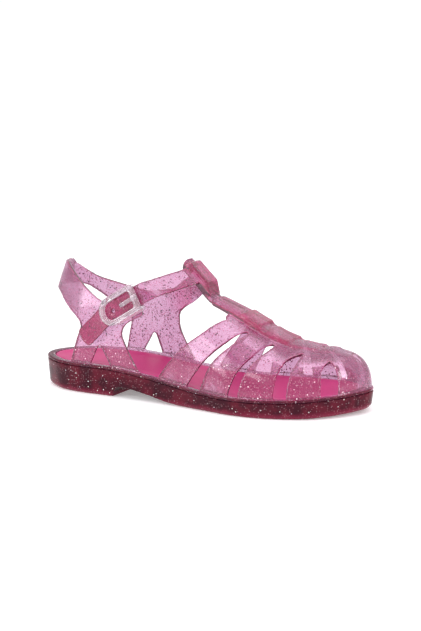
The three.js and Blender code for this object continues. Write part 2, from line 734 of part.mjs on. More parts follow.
// Ankle strap: from the medial quarter through the loop and the ring to the lateral quarter.
// `off` is the way that its outer face looks.
function strapStops() {
  const loop = tongueSpot(0, slotHeight / 2);
  const level = strapLevel + strapThickness / 2;
  const tailLevel = clearance + strapThickness / 2 + 0.9;
  const turn = (tailSlope - buckleSlope) * degrees;
  const side = (along, share, up) => point(rise(along), share * ankleWidth, up * heelTopHeight);
  const inLoop = (share) => point(loop.x, share * ankleWidth, loop.z);
  const inRing = (along) => ringSpot(along, 0, level);
  const inTail = (share) => ringSpot(
    -ringFront - Math.cos(turn) * tailLength * share,
    -Math.sin(turn) * tailLength * share,
    tailLevel,
  );
  return [
    { at: side(0.333, 0.445, 0.64), off: point(0, 1, 0.12), width: 0.97 },
    { at: side(0.401, 0.412, 0.767), off: point(0.12, 1, 0.3), width: 1.18 },
    { at: side(0.453, 0.32, 0.876), off: point(0.4, 0.75, 0.55), width: 1.1 },
    { at: inLoop(0.16).sub(point(1, 0, 1.4)), off: slopeNormal.clone().add(point(0, 0.25, 0)), width: 1 },
    { at: inLoop(0.07), off: slopeNormal, width: 1 },
    { at: inLoop(-0.07), off: slopeNormal, width: 1 },
    { at: inLoop(-0.16).sub(point(1.2, 0, 1.3)), off: slopeNormal.clone().sub(point(0, 0.3, 0)), width: 1 },
    { at: side(0.431, -0.345, 0.908), off: point(0.36, -0.74, 0.57), width: 0.97 },
    { at: inRing(ringFront + 6), off: ringOff, width: 1 },
    { at: inRing(ringFront - 2), off: ringOff, width: 1 },
    { at: inRing(0), off: ringOff, width: 1 },
    { at: inRing(-ringFront + 3), off: ringOff, width: 1 },
    { at: inTail(0.3), off: ringOff, width: 1 },
    { at: inTail(1), off: ringOff, width: 1 },
  ];
}

function makeAnkleStrap() {
  const stops = strapStops();
  const path = new THREE.CatmullRomCurve3(column(stops, 'at'), false, 'centripetal');
  const offs = new THREE.CatmullRomCurve3(column(stops, 'off'), false, 'centripetal');
  const widthAt = curveThrough(stops.map((_, i) => i), column(stops, 'width'));
  const perStop = 3;
  const count = perStop * (stops.length - 1);
  return solidFromRings(Array.from({ length: count + 1 }, (_, k) => {
    const at = path.getPoint(k / count);
    const run = path.getTangent(k / count);
    const off = offs.getPoint(k / count);
    off.addScaledVector(run, -off.dot(run)).normalize();
    const across = off.clone().cross(run).multiplyScalar((strapWidth / 2) * widthAt(k / perStop));
    off.multiplyScalar(strapThickness / 2);
    return [
      at.clone().add(across).add(off),
      at.clone().add(across).sub(off),
      at.clone().sub(across).sub(off),
      at.clone().sub(across).add(off),
    ];
  }));
}

function strapHoles() {
  const middle = prongRear + prongShank / 2;
  return [-1, 0, 1].map((step) =>
    ringCylinder(middle + step * strapHolePitch, strapHoleRadius, 1, roofLevel + 0.2));
}

const vampRear = 0.37; // where the vamp's shell starts and where its straps reach the top line,
const vampFront = 0.612; // as shares of soleLength

function makeUpper() {
  const shell = vampSolid(0, weltThickness / 2, rise(vampRear));
  const vamp = shell.subtract(vampSolid(-wall, 2 * weltThickness, rise(vampRear - 0.04)));
  const cutters = [-1, 1].flatMap((side) => gapRows.map((row) => gapCutter(row, side)));
  const rearCut = vampRearCut();
  const cage = [...cutters, rearCut].reduce((whole, cutter) => whole.subtract(cutter), vamp);
  const strap = strapHoles().reduce((whole, hole) => whole.subtract(hole), makeAnkleStrap());
  return joinAll([
    cage, makeSpine(), ...makePads(), makeWelt(), makeTongue(), makeBridge(), makeQuarters(), strap,
  ]);
}

// Clears the rear of the vamp's shell, where the tongue takes its place.
function vampRearCut() {
  const width = 0.4 * soleWidth;
  const from = rise(vampRear - 0.07);
  const to = rise(vampFront);
  const bottom = 0.4 * instepHeight;
  const top = 1.1 * instepHeight;
  return sidePrism(new THREE.Shape([
    new THREE.Vector2(from, bottom),
    new THREE.Vector2(to, bottom),
    new THREE.Vector2(to, top),
    new THREE.Vector2(from, top),
  ]), -width / 2, width / 2);
}

// Finishes
const darkGlitter = new THREE.MeshStandardMaterial({ color: 0x5a2337, roughness: 0.3, metalness: 0 });
const solidPink = new THREE.MeshStandardMaterial({ color: 0xcd4682, roughness: 0.35, metalness: 0 });
const clearPink = new THREE.MeshStandardMaterial({
  color: 0xdca0be, roughness: 0.2, metalness: 0, transparent: true, opacity: 0.8,
});
const clearPlastic = new THREE.MeshStandardMaterial({
  color: 0xdfd9de, roughness: 0.15, metalness: 0, transparent: true, opacity: 0.6,
});

function mesh(name, solid, material) {
  const item = new THREE.Mesh(geometryFromSolid(solid), material);
  item.name = name;
  return item;
}

const sandal = new THREE.Group();
sandal.add(
  mesh('outsole', makeOutsole(), darkGlitter),
  mesh('insole', makeInsole(), solidPink),
  mesh('upper', makeUpper(), clearPink),
  mesh('buckle_frame', makeBuckleFrame(), clearPlastic),
  mesh('buckle_prong', makeBuckleProng(), clearPlastic),
);

export default sandal;
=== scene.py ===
"""A jelly sandal for the right foot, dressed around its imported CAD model.

Shapes are worked out in millimetres, in the frame of the CAD model, and become metres when a
piece is made. +X points to the toe, +Y to the medial side, +Z up, and the ground is z = 0.
"""

import logging
import math
from bisect import bisect_right
from dataclasses import dataclass
from enum import Enum
from functools import cached_property
from typing import Callable, Sequence, Union

import bpy
import numpy as np
from mathutils import Matrix, Vector
from mathutils.bvhtree import BVHTree
from mathutils.kdtree import KDTree


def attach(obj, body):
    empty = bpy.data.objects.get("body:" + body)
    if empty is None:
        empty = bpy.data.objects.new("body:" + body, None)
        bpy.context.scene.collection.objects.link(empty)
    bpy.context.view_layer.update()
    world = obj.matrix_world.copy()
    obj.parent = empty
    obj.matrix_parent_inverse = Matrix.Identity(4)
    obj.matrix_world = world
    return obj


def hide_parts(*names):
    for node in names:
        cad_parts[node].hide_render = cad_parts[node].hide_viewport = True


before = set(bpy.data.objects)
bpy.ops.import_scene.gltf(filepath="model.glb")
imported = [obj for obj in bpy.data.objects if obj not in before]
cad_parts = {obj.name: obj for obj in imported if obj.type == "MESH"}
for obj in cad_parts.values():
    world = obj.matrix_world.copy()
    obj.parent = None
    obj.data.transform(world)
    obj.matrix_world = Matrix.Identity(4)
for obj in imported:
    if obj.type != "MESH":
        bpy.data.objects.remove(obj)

log = logging.getLogger("jelly_sandal")

MM = 0.001
BODY = "root"
Colour = tuple[float, float, float, float]
Points = np.ndarray
BLACK: Colour = (0, 0, 0, 1)


def point(x: float, y: float, z: float) -> Points:
    """Returns a point or direction as an array."""
    return np.array((x, y, z), float)


def unit(vector: Points) -> Points:
    """Returns the vector at length 1."""
    return vector / np.linalg.norm(vector)


def mix(a: float, b: float, share: float) -> float:
    """Returns the value a share of the way from a to b."""
    return a + (b - a) * share


def clamp(value: float) -> float:
    """Returns the value held between 0 and 1."""
    return min(1.0, max(0.0, value))


def smooth(value: float) -> float:
    """Returns an even S-curve from 0 to 1."""
    held = clamp(value)
    return held * held * (3 - 2 * held)


def fade(value: float, start: float, run: float) -> float:
    """Returns an even fall from 1 at start to 0 at start + run."""
    return 1 - smooth((value - start) / run)


class SmoothCurve:
    """A curve that runs through its rows without swinging past them."""

    def __init__(self, xs: Sequence[float], ys: Sequence[float]) -> None:
        """Keeps the rows and works out the tangents.

        Args:
            xs: Places along, in rising order.
            ys: The value at each place.
        """
        self.xs = list(xs)
        self.ys = list(ys)
        slopes = [(y1 - y0) / (x1 - x0) for x0, x1, y0, y1 in zip(xs, xs[1:], ys, ys[1:])]
        inner = [0.0 if a * b <= 0 else 2 * a * b / (a + b) for a, b in zip(slopes, slopes[1:])]
        self.tangents = [slopes[0], *inner, slopes[-1]]

    @classmethod
    def column(cls, rows: Sequence[Sequence[float]], index: int) -> "SmoothCurve":
        """Returns the curve of the rows' column of that index over their first one."""
        return cls([row[0] for row in rows], [row[index] for row in rows])

    def __call__(self, x: float) -> float:
        """Returns the curve's value at x, held at its ends."""
        i = min(max(bisect_right(self.xs, x) - 1, 0), len(self.xs) - 2)
        span = self.xs[i + 1] - self.xs[i]
        t = clamp((x - self.xs[i]) / span)
        return (
            self.ys[i] * (1 + 2 * t) * (1 - t) ** 2
            + self.ys[i + 1] * t * t * (3 - 2 * t)
            + span * t * (1 - t) * (self.tangents[i] * (1 - t) - self.tangents[i + 1] * t)
        )


class Cut(Enum):
    """How one solid works on another."""

    REMOVE = "DIFFERENCE"
    KEEP = "INTERSECT"


@dataclass
class Shell:
    """A closed surface in millimetres."""

    vertices: Points
    faces: list[tuple[int, ...]]

    @classmethod
    def from_rings(cls, rings: Sequence[Points], endless: bool = False) -> "Shell":
        """Skins a row of rings, whose point i faces point n - 1 - i across the ring.

        Args:
            rings: Rings with the same number of points each.
            endless: True if the last ring joins the first, without end faces.

        Returns:
            The closed shell, facing out.
        """
        n = len(rings[0])
        count = len(rings)
        faces: list[tuple[int, ...]] = []
        for k in range(count if endless else count - 1):
            here, there = k * n, ((k + 1) % count) * n
            for i in range(n):
                j = (i + 1) % n
                faces.append((here + i, here + j, there + j, there + i))
        if not endless:
            end = (count - 1) * n
            for i in range(n // 2 - 1):
                faces.append((n - 1 - i, n - 2 - i, i + 1, i))
                faces.append((end + i, end + i + 1, end + n - 2 - i, end + n - 1 - i))
        return cls(np.concatenate([np.asarray(ring) for ring in rings]), faces).outward()

    @classmethod
    def prism(cls, outline: Sequence[Sequence[float]], start: float, end: float) -> "Shell":
        """Extrudes a side outline of x and z across the sandal, from y start to y end."""
        return cls.between(*([point(x, y, z) for x, z in outline] for y in (start, end)))

    @classmethod
    def between(cls, near: Sequence[Points], far: Sequence[Points]) -> "Shell":
        """Skins two outlines with the same number of points, and closes both with a flat face."""
        n = len(near)
        faces = [(i, (i + 1) % n, n + (i + 1) % n, n + i) for i in range(n)]
        faces += [tuple(range(n - 1, -1, -1)), tuple(range(n, 2 * n))]
        return cls(np.array([*near, *far]), faces).outward()

    def outward(self) -> "Shell":
        """Returns the shell with its faces turned to look out."""
        volume = 0.0
        for face in self.faces:
            a = self.vertices[face[0]]
            for j in range(1, len(face) - 1):
                volume += float(np.dot(a, np.cross(self.vertices[face[j]], self.vertices[face[j + 1]])))
        if volume < 0:
            self.faces = [tuple(reversed(face)) for face in self.faces]
        return self

    def to_object(self, name: str) -> bpy.types.Object:
        """Returns a new mesh object of the shell, still in millimetres."""
        data = bpy.data.meshes.new(name)
        data.from_pydata([tuple(v) for v in self.vertices], [], self.faces)
        return linked(name, data)

    @staticmethod
    def join(shells: Sequence["Shell"]) -> "Shell":
        """Returns the shells side by side in one, without cutting them."""
        faces: list[tuple[int, ...]] = []
        start = 0
        for shell in shells:
            faces += [tuple(i + start for i in face) for face in shell.faces]
            start += len(shell.vertices)
        return Shell(np.concatenate([shell.vertices for shell in shells]), faces)

    def worked(self, tools: Sequence["Shell"], how: Cut) -> "Shell":
        """Returns the shell after each tool has worked on it in turn.

        Args:
            tools: The shells that remove or keep.
            how: What each of them does.

        Returns:
            The shell that is left.
        """
        base = self.to_object("work_base")
        others = [tool.to_object(f"work_tool_{i}") for i, tool in enumerate(tools)]
        for other in others:
            step = base.modifiers.new("step", "BOOLEAN")
            step.operation = how.value
            step.solver = "MANIFOLD"
            step.object = other
        data = evaluated(base)
        faces = [tuple(polygon.vertices) for polygon in data.polygons]
        left = Shell(positions(data), faces)
        for item in [base, *others]:
            discard(item)
        bpy.data.meshes.remove(data)
        return left


def linked(name: str, data: bpy.types.ID) -> bpy.types.Object:
    """Returns a new object of the data, put into the scene."""
    item = bpy.data.objects.new(name, data)
    bpy.context.scene.collection.objects.link(item)
    return item


def evaluated(item: bpy.types.Object) -> bpy.types.Mesh:
    """Returns a new mesh of the object with its modifiers applied."""
    graph = bpy.context.evaluated_depsgraph_get()
    return bpy.data.meshes.new_from_object(item.evaluated_get(graph), depsgraph=graph)


def discard(item: bpy.types.Object) -> None:
    """Removes an object and its mesh."""
    data = item.data
    bpy.data.objects.remove(item)
    bpy.data.meshes.remove(data)


@dataclass(frozen=True)
class Moulding:
    """How a piece's joined shells become one moulded skin with soft edges."""

    voxel: float
    passes: int = 4
    most_triangles: int = 190_000

    def make(self, name: str, shell: Shell) -> bpy.types.Object:
        """Returns one smooth object in metres.

        Args:
            name: The new object's name.
            shell: Closed shells, which may overlap.
        """
        rough = shell.to_object(name + "_rough")
        remesh = rough.modifiers.new("skin", "REMESH")
        remesh.mode = "VOXEL"
        remesh.voxel_size = self.voxel
        soften = rough.modifiers.new("soften", "SMOOTH")
        soften.factor = 0.5
        soften.iterations = self.passes
        data = evaluated(rough)
        discard(rough)
        triangles = 2 * len(data.polygons)
        if triangles > self.most_triangles:
            whole = linked(name + "_fine", data)
            thin = whole.modifiers.new("thin", "DECIMATE")
            thin.ratio = self.most_triangles / triangles
            data = evaluated(whole)
            discard(whole)
        data.transform(Matrix.Scale(MM, 4))
        data.name = name
        data.shade_smooth()
        log.info("%s: %d vertices from %d triangles", name, len(data.vertices), triangles)
        return linked(name, data)


def positions(data: bpy.types.Mesh) -> Points:
    """Returns the places of the mesh's vertices."""
    flat = np.empty(3 * len(data.vertices))
    data.vertices.foreach_get("co", flat)
    return flat.reshape(-1, 3)


def keep_values(item: bpy.types.Object, name: str, values: Points) -> None:
    """Keeps one number per vertex under a name that a finish reads."""
    attribute = item.data.attributes.new(name, "FLOAT", "POINT")
    attribute.data.foreach_set("value", values.astype(np.float32))


def spread(item: bpy.types.Object, values: Points, passes: int) -> Points:
    """Returns the values evened out between neighbouring vertices.

    Args:
        item: The mesh object.
        values: One number per vertex.
        passes: How often each vertex moves halfway to the mean of its neighbours.
    """
    edges = np.empty(2 * len(item.data.edges), int)
    item.data.edges.foreach_get("vertices", edges)
    pairs = edges.reshape(-1, 2)
    counts = np.bincount(pairs.ravel(), minlength=len(values))
    for _ in range(passes):
        total = np.bincount(pairs[:, 0], values[pairs[:, 1]], len(values))
        total += np.bincount(pairs[:, 1], values[pairs[:, 0]], len(values))
        values = 0.5 * values + 0.5 * total / np.maximum(counts, 1)
    return values


def measure_depth(item: bpy.types.Object, most: float = 14.0) -> Points:
    """Returns how thick the piece is behind each vertex, in millimetres.

    Args:
        item: A closed mesh object in metres.
        most: Depths past this count as this.
    """
    data = item.data
    tree = BVHTree.FromPolygons([v.co for v in data.vertices], [p.vertices for p in data.polygons])
    depths = np.full(len(data.vertices), most)
    lift = 0.02 * MM
    for i, vertex in enumerate(data.vertices):
        into = -vertex.normal
        hit = tree.ray_cast(vertex.co + into * lift, into, most * MM)
        if hit[3] is not None:
            depths[i] = hit[3] / MM
    return depths


@dataclass(frozen=True)
class SoleForm:
    """The sole's outline and heights, which every other piece follows."""

    length: float = 250.0
    width: float = 86.6
    toe_swing: float = 8.6
    heel_rim: float = 21.6
    fore_rim: float = 12.8
    step_start: float = 0.22
    step_run: float = 0.44
    toe_rim_rise: float = 4.0
    toe_rim_start: float = 0.7
    toe_spring: float = 3.0
    toe_spring_start: float = 0.8
    welt: float = 2.0
    clearance: float = 0.3
    rim_width: float = 5.5
    recess: float = 5.0
    heel_squareness: float = 8.5
    toe_squareness: float = 6.0
    steps: int = 360
    rows: tuple[tuple[float, float, float], ...] = (
        (0, 0, 0.554), (0.05, 0, 0.612), (0.1, 0, 0.688), (0.18, 0, 0.723),
        (0.3, -0.1, 0.714), (0.4, -0.26, 0.714), (0.5, -0.34, 0.771), (0.6, -0.27, 0.882),
        (0.68, -0.17, 0.975), (0.75, 0, 1), (0.82, 0.21, 0.97), (0.9, 0.49, 0.901),
        (0.95, 0.73, 0.79), (1, 1, 0.6),
    )

    @cached_property
    def centre_share(self) -> SmoothCurve:
        """The centre line's swing as a share of toe_swing."""
        return SmoothCurve.column(self.rows, 1)

    @cached_property
    def width_share(self) -> SmoothCurve:
        """The outline's width as a share of width."""
        return SmoothCurve.column(self.rows, 2)

    @property
    def heel_x(self) -> float:
        """The rearmost place of the sole."""
        return -self.length / 2

    def rise(self, share: float) -> float:
        """Returns x at a share of the sole's length."""
        return self.heel_x + share * self.length

    def station(self, x: float) -> float:
        """Returns the share of the sole's length at x."""
        return (x - self.heel_x) / self.length

    def centre_at(self, x: float) -> float:
        """Returns y of the centre line."""
        return self.toe_swing * self.centre_share(self.station(x))

    def half_at(self, x: float) -> float:
        """Returns half the sole's width."""
        return self.width / 2 * self.width_share(self.station(x))

    def rim_at(self, x: float) -> float:
        """Returns the height of the rim's top."""
        s = self.station(x)
        step = mix(self.heel_rim, self.fore_rim, smooth((s - self.step_start) / self.step_run))
        start = self.toe_rim_start
        return step + self.toe_rim_rise * clamp((s - start) / (1 - start)) ** 2

    def ground_at(self, x: float) -> float:
        """Returns the height of the sole's underside."""
        start = self.toe_spring_start
        return self.toe_spring * clamp((self.station(x) - start) / (1 - start)) ** 2

    def edge(self, turn: float) -> Points:
        """Returns the outline's point at a turn from the heel."""
        x = self.heel_x + self.length / 2 * (1 - math.cos(turn))
        reach = abs(2 * x / self.length)
        squareness = self.heel_squareness if x < 0 else self.toe_squareness
        half = self.half_at(x) * math.sqrt(max(0.0, 1 - reach**squareness))
        return point(x, self.centre_at(x) - math.copysign(half, math.sin(turn)), 0)

    @cached_property
    def outline(self) -> tuple[Points, Points]:
        """The outline's points and the directions that look in from them."""
        spots, inward = [], []
        step = 0.004
        for index in range(self.steps):
            turn = (index + 0.5) / self.steps * 2 * math.pi
            low, high = (0.0, math.pi) if turn < math.pi else (math.pi, 2 * math.pi)
            tangent = unit(self.edge(min(turn + step, high)) - self.edge(max(turn - step, low)))
            spots.append(self.edge(turn))
            inward.append(point(-tangent[1], tangent[0], 0))
        return np.array(spots), np.array(inward)

    def rim_ring(self, inset: float, fall: float) -> Points:
        """Returns the outline moved in by inset, at a fall under the rim's top."""
        return self.ring(inset, lambda x: self.rim_at(x) - fall)

    def ring(self, inset: float, height_at: Callable[[float], float]) -> Points:
        """Returns the outline moved in by inset, at the heights of height_at."""
        spots, inward = self.outline
        ring = spots + inset * inward
        ring[:, 2] = [height_at(x) for x in ring[:, 0]]
        return ring


@dataclass
class Outsole:
    """The solid dark sole with its heel block, arch and bevelled foot."""

    form: SoleForm
    heel_block: float = 69.0
    breast_run: float = 7.0
    arch_height: float = 7.6
    arch_length: float = 62.0
    arch_handles: tuple[float, float, float] = (0.35, 0.6, 0.12)
    breast_lean: float = 0.3
    taper: float = 1.2
    bevel_width: float = 2.4
    bevel_height: float = 2.4
    moulding: Moulding = Moulding(0.72)

    def arch_outline(self) -> list[tuple[float, float]]:
        """Returns the side outline of the arch that is cut away under the waist."""
        breast = self.form.heel_x + self.heel_block
        start = breast + self.breast_run
        run = self.arch_length - self.breast_run
        high = self.arch_height
        steep, flat, low = self.arch_handles
        lean = breast + self.breast_lean * self.breast_run
        below = -1.0
        outline = [(breast, below)]
        for t in np.linspace(0, 1, 13):
            x = (1 - t) ** 2 * breast + 2 * t * (1 - t) * lean + t * t * start
            outline.append((float(x), float(high * (2 * t - t * t))))
        xs = (start, start + steep * run, start + flat * run, start + run)
        zs = (high, high, low * high, 0)
        for t in np.linspace(0, 1, 25)[1:]:
            weights = ((1 - t) ** 3, 3 * t * (1 - t) ** 2, 3 * t * t * (1 - t), t**3)
            outline.append(tuple(float(sum(w * v for w, v in zip(weights, line))) for line in (xs, zs)))
        return [*outline, (breast + self.arch_length, below)]

    def build(self) -> bpy.types.Object:
        """Returns the outsole, with its height over the ground kept for the finish."""
        form = self.form
        top = form.welt + form.clearance
        body = Shell.from_rings(
            [
                form.ring(self.taper + self.bevel_width, form.ground_at),
                form.ring(self.taper, lambda x: form.ground_at(x) + self.bevel_height),
                form.rim_ring(0, top),
                form.rim_ring(form.rim_width, top),
                form.rim_ring(form.rim_width, form.recess),
            ]
        )
        arch = Shell.prism(self.arch_outline(), -form.width, form.width)
        item = self.moulding.make("outsole_skin", body.worked([arch], Cut.REMOVE))
        spots = positions(item.data) / MM
        under = np.array([form.ground_at(x) for x in spots[:, 0]])
        keep_values(item, "lift", spots[:, 2] - under)
        return item


@dataclass
class Insole:
    """The opaque footbed that lies in the sole's recess."""

    form: SoleForm
    drop: float = 0.4
    edge_round: float = 1.1
    dish: float = 0.8
    dish_run: float = 9.0
    dish_start: float = 0.15

    def build(self) -> bpy.types.Object:
        """Returns the footbed, slightly dished, with a rounded edge."""
        form = self.form
        inset = form.rim_width + form.clearance
        rings = [form.rim_ring(inset, form.recess - form.clearance)]
        for t in np.linspace(0, 1, 6):
            turn = t * math.pi / 2
            step = self.edge_round * (1 - math.cos(turn))
            fall = self.drop + self.edge_round * (1 - math.sin(turn))
            rings.append(form.rim_ring(inset + step, fall))
        for t in np.linspace(self.dish_start, 1, 8):
            step = self.edge_round + self.dish_run * t
            rings.append(form.rim_ring(inset + step, self.drop + self.dish * smooth(t)))
        shell = Shell.from_rings(rings)
        shell.vertices = shell.vertices * MM
        item = shell.to_object("insole_bed")
        item.data.shade_smooth()
        return item


@dataclass
class Vamp:
    """The cage over the toes: a shell with gaps, a raised spine with pads, and the welt."""

    form: SoleForm
    wall: float = 2.4
    inset: float = 1.0
    instep: float = 95.0
    squareness: float = 2.25
    strap_skew: float = 15.0
    spine_ends: tuple[float, float] = (0.56, 0.91)
    spine_height: float = 2.6
    spine_angle: float = 15.0
    spine_fade: float = 0.85
    pad_height: float = 2.0
    pad_slope: float = 1.6
    rear: float = 0.37
    front: float = 0.612
    reach: float = 5.0
    gap_tip: float = 0.06
    gap_flow: float = 1.35
    skew_full: float = 0.76
    skew_none: float = 0.96
    skew_angle: float = 20.0
    tip_gap: float = 0.02
    core_lead: float = 0.04
    cut_lead: float = 0.07
    cut_heights: tuple[float, float] = (0.4, 1.1)
    cut_half: float = 0.2
    pad_sink: float = 0.2
    pad_margin: float = 1.5
    ridge_rows: tuple[tuple[float, float], ...] = (
        (0.38, 1), (0.5, 0.82), (0.547, 0.748), (0.594, 0.696),
        (0.641, 0.644), (0.68, 0.589), (0.708, 0.553), (0.755, 0.495),
        (0.798, 0.463), (0.861, 0.445), (0.892, 0.446), (1, 0.458),
    )
    gap_angles: tuple[float, ...] = (90, 70, 45)
    gap_rows: tuple[tuple, ...] = (
        ((0.29, 0.29, 0.29, 0.29), (0.432, 0.498, 0.577, 0.628), 19, 0.05),
        ((0.532, 0.583, 0.646, 0.676), (0.578, 0.609, 0.664, 0.691), 23, 0.12),
        ((0.671, 0.692, 0.726, 0.745), (0.702, 0.716, 0.743, 0.766), 20, 0.2),
        ((0.801, 0.803, 0.808, 0.83), (0.835, 0.837, 0.84, 0.845), 23, 0.25),
        ((0.914, 0.912, 0.906, 0.909), (0.948, 0.947, 0.936, 0.925), 33, 0.35),
    )
    pad_rows: tuple[tuple[float, float, float], ...] = (
        (0.652, 0.704, 1), (0.724, 0.786, 0.85), (0.804, 0.862, 0.6), (0.878, 0.904, 0.4),
    )

    @cached_property
    def ridge_share(self) -> SmoothCurve:
        """The top line's height as a share of instep."""
        return SmoothCurve.column(self.ridge_rows, 1)

    def arch(self, x: float, out: float = 0.0) -> tuple[float, float]:
        """Returns half the width of the vamp's arch and its height over the rim.

        Args:
            x: The place along the sandal.
            out: How far outside the outer face.
        """
        form = self.form
        reach = clamp(x / (form.length / 2 - self.inset + out))
        half = (form.half_at(x) - self.inset + out) * math.sqrt(1 - reach**form.toe_squareness)
        ridge = self.instep * self.ridge_share(form.station(x))
        height = (ridge - form.rim_at(x) + out) * math.sqrt(1 - reach ** (2 * form.toe_squareness))
        return half, height

    def outside(self, spot: Points) -> float:
        """Returns how far a spot stands outside the vamp's outer face."""
        x, y, z = spot
        half, height = self.arch(x)
        across, up = y - self.form.centre_at(x), z - self.form.rim_at(x)
        share = abs(across / half) ** self.squareness + abs(up / height) ** self.squareness
        return math.hypot(across, up) * (1 - share ** (-1 / self.squareness))

    def spot(self, x: float, angle: float, out: float = 0.0) -> Points:
        """Returns a point of the vamp.

        Args:
            x: The place along the sandal.
            angle: Degrees from the top line, negative to the lateral side.
            out: How far outside the outer face.
        """
        form = self.form
        half, height = self.arch(x, out)
        cos = math.cos(math.radians(angle))
        sin = math.sin(math.radians(angle))
        radius = (abs(cos) ** self.squareness + abs(sin) ** self.squareness) ** (-1 / self.squareness)
        return point(x, form.centre_at(x) + half * radius * sin, form.rim_at(x) + height * radius * cos)

    def solid(self, out: float, depth: float, rear: float) -> Shell:
        """Returns the filled vamp, grown by out, from x = rear to the toe."""
        steps, count = 36, 70
        angles = [90 * (i - steps) / steps for i in range(2 * steps + 1)]
        angles[steps : steps + 1] = [-90 / steps / 3, 90 / steps / 3]
        tip = self.form.length / 2 - self.inset + out - self.tip_gap
        rings = []
        for i in range(count + 1):
            x = mix(rear, tip, math.sin(i / count * math.pi / 2))
            arch = [self.spot(x, angle, out) for angle in angles]
            low = point(0, 0, depth)
            rings.append(np.array([arch[0] - low, *arch, arch[-1] - low]))
        return Shell.from_rings(rings)

    def skew_at(self, x: float, angle: float) -> float:
        """Returns how far a medial feature lies ahead of its lateral twin."""
        held = fade(self.form.station(x), self.skew_full, self.skew_none - self.skew_full)
        return self.strap_skew * held * clamp((abs(angle) - self.skew_angle) / (90 - self.skew_angle))

    def gap(self, row: tuple, side: int) -> Shell:
        """Returns the cutter of one gap between two straps, on the side of the sign side."""
        rear, front, top, rounding = row
        order = [-angle for angle in (*self.gap_angles, top)]
        rear_at, front_at = SmoothCurve(order, rear), SmoothCurve(order, front)
        steps, across = 30, 8
        rings = []
        for k in range(steps + 1):
            share = 1 - (1 - k / steps) ** self.gap_flow
            angle = mix(-90, -top, share)
            left = 1 - share
            opened = math.sqrt(1 - (1 - left / rounding) ** 2) if left < rounding else 1.0
            middle = (rear_at(angle) + front_at(angle)) / 2
            half = max(self.gap_tip, opened) * (front_at(angle) - rear_at(angle)) / 2
            faces = []
            for out in (self.reach, -self.wall - self.reach):
                row_points = []
                for i in range(across + 1):
                    lateral = self.form.rise(middle + half * (2 * i / across - 1))
                    x = lateral + (self.skew_at(lateral, angle) if side > 0 else 0)
                    spot = self.spot(x, side * abs(angle), out)
                    if k == 0:
                        spot[2] -= self.form.welt / 4
                    row_points.append(spot)
                faces.append(row_points)
            rings.append(np.array([*faces[0], *reversed(faces[1])]))
        return Shell.from_rings(rings)

    def rear_cut(self) -> Shell:
        """Returns the block that clears the shell's rear, where the tongue takes its place."""
        low, high = (share * self.instep for share in self.cut_heights)
        rear, front = (self.form.rise(share) for share in (self.rear - self.cut_lead, self.front))
        half = self.cut_half * self.form.width
        return Shell.prism([(rear, low), (front, low), (front, high), (rear, high)], -half, half)

    def band(self, rows: Sequence[tuple[float, float]], angle: float) -> Shell:
        """Returns a raised band along the top line, from rows of x and height."""
        across = 12
        rings = []
        for x, raised in rows:
            angles = [angle * (2 * i / across - 1) for i in range(across + 1)]
            top = [self.spot(x, turn, raised) for turn in angles]
            low = [self.spot(x, turn, -self.wall / 2) for turn in reversed(angles)]
            rings.append(np.array(top + low))
        return Shell.from_rings(rings)

    def spine_raise(self, x: float) -> float:
        """Returns how far the spine stands above the vamp."""
        start, end = (self.form.rise(share) for share in self.spine_ends)
        return self.spine_height * (1 - self.spine_fade * smooth((x - start) / (end - start)) ** 2)

    def spine(self) -> Shell:
        """Returns the raised band that the straps run into."""
        xs = np.linspace(*(self.form.rise(share) for share in self.spine_ends), 49)
        return self.band([(x, self.spine_raise(x)) for x in xs], self.spine_angle)

    def pads(self) -> list[Shell]:
        """Returns the raised pads, one where each strap crosses the spine."""
        pads = []
        for rear, front, height in self.pad_rows:
            start, end = self.form.rise(rear), self.form.rise(front)
            high = self.spine_raise(end) + self.pad_height * height
            low = self.spine_raise(end) - self.pad_sink
            rows = [(start - self.pad_slope, low)]
            rows += [(float(x), high) for x in np.linspace(start, end, 9)]
            rows += [(end + self.pad_slope, low)]
            pads.append(self.band(rows, self.spine_angle - self.pad_margin))
        return pads

    def welt_ring(self) -> Shell:
        """Returns the flat ring that the straps grow out of."""
        form = self.form
        wide = form.rim_width
        places = ((0, form.welt), (0, 0), (wide, 0), (wide, form.welt))
        return Shell.from_rings([form.rim_ring(*place) for place in places], endless=True)

    def shells(self) -> list[Shell]:
        """Returns the cage's closed shells."""
        rise = self.form.rise
        inside = self.solid(-self.wall, 2 * self.form.welt, rise(self.rear - self.core_lead))
        gaps = [self.gap(row, side) for side in (-1, 1) for row in self.gap_rows]
        shell = self.solid(0, self.form.welt / 2, rise(self.rear))
        cage = shell.worked([inside, *gaps, self.rear_cut()], Cut.REMOVE)
        return [cage, self.spine(), *self.pads(), self.welt_ring()]


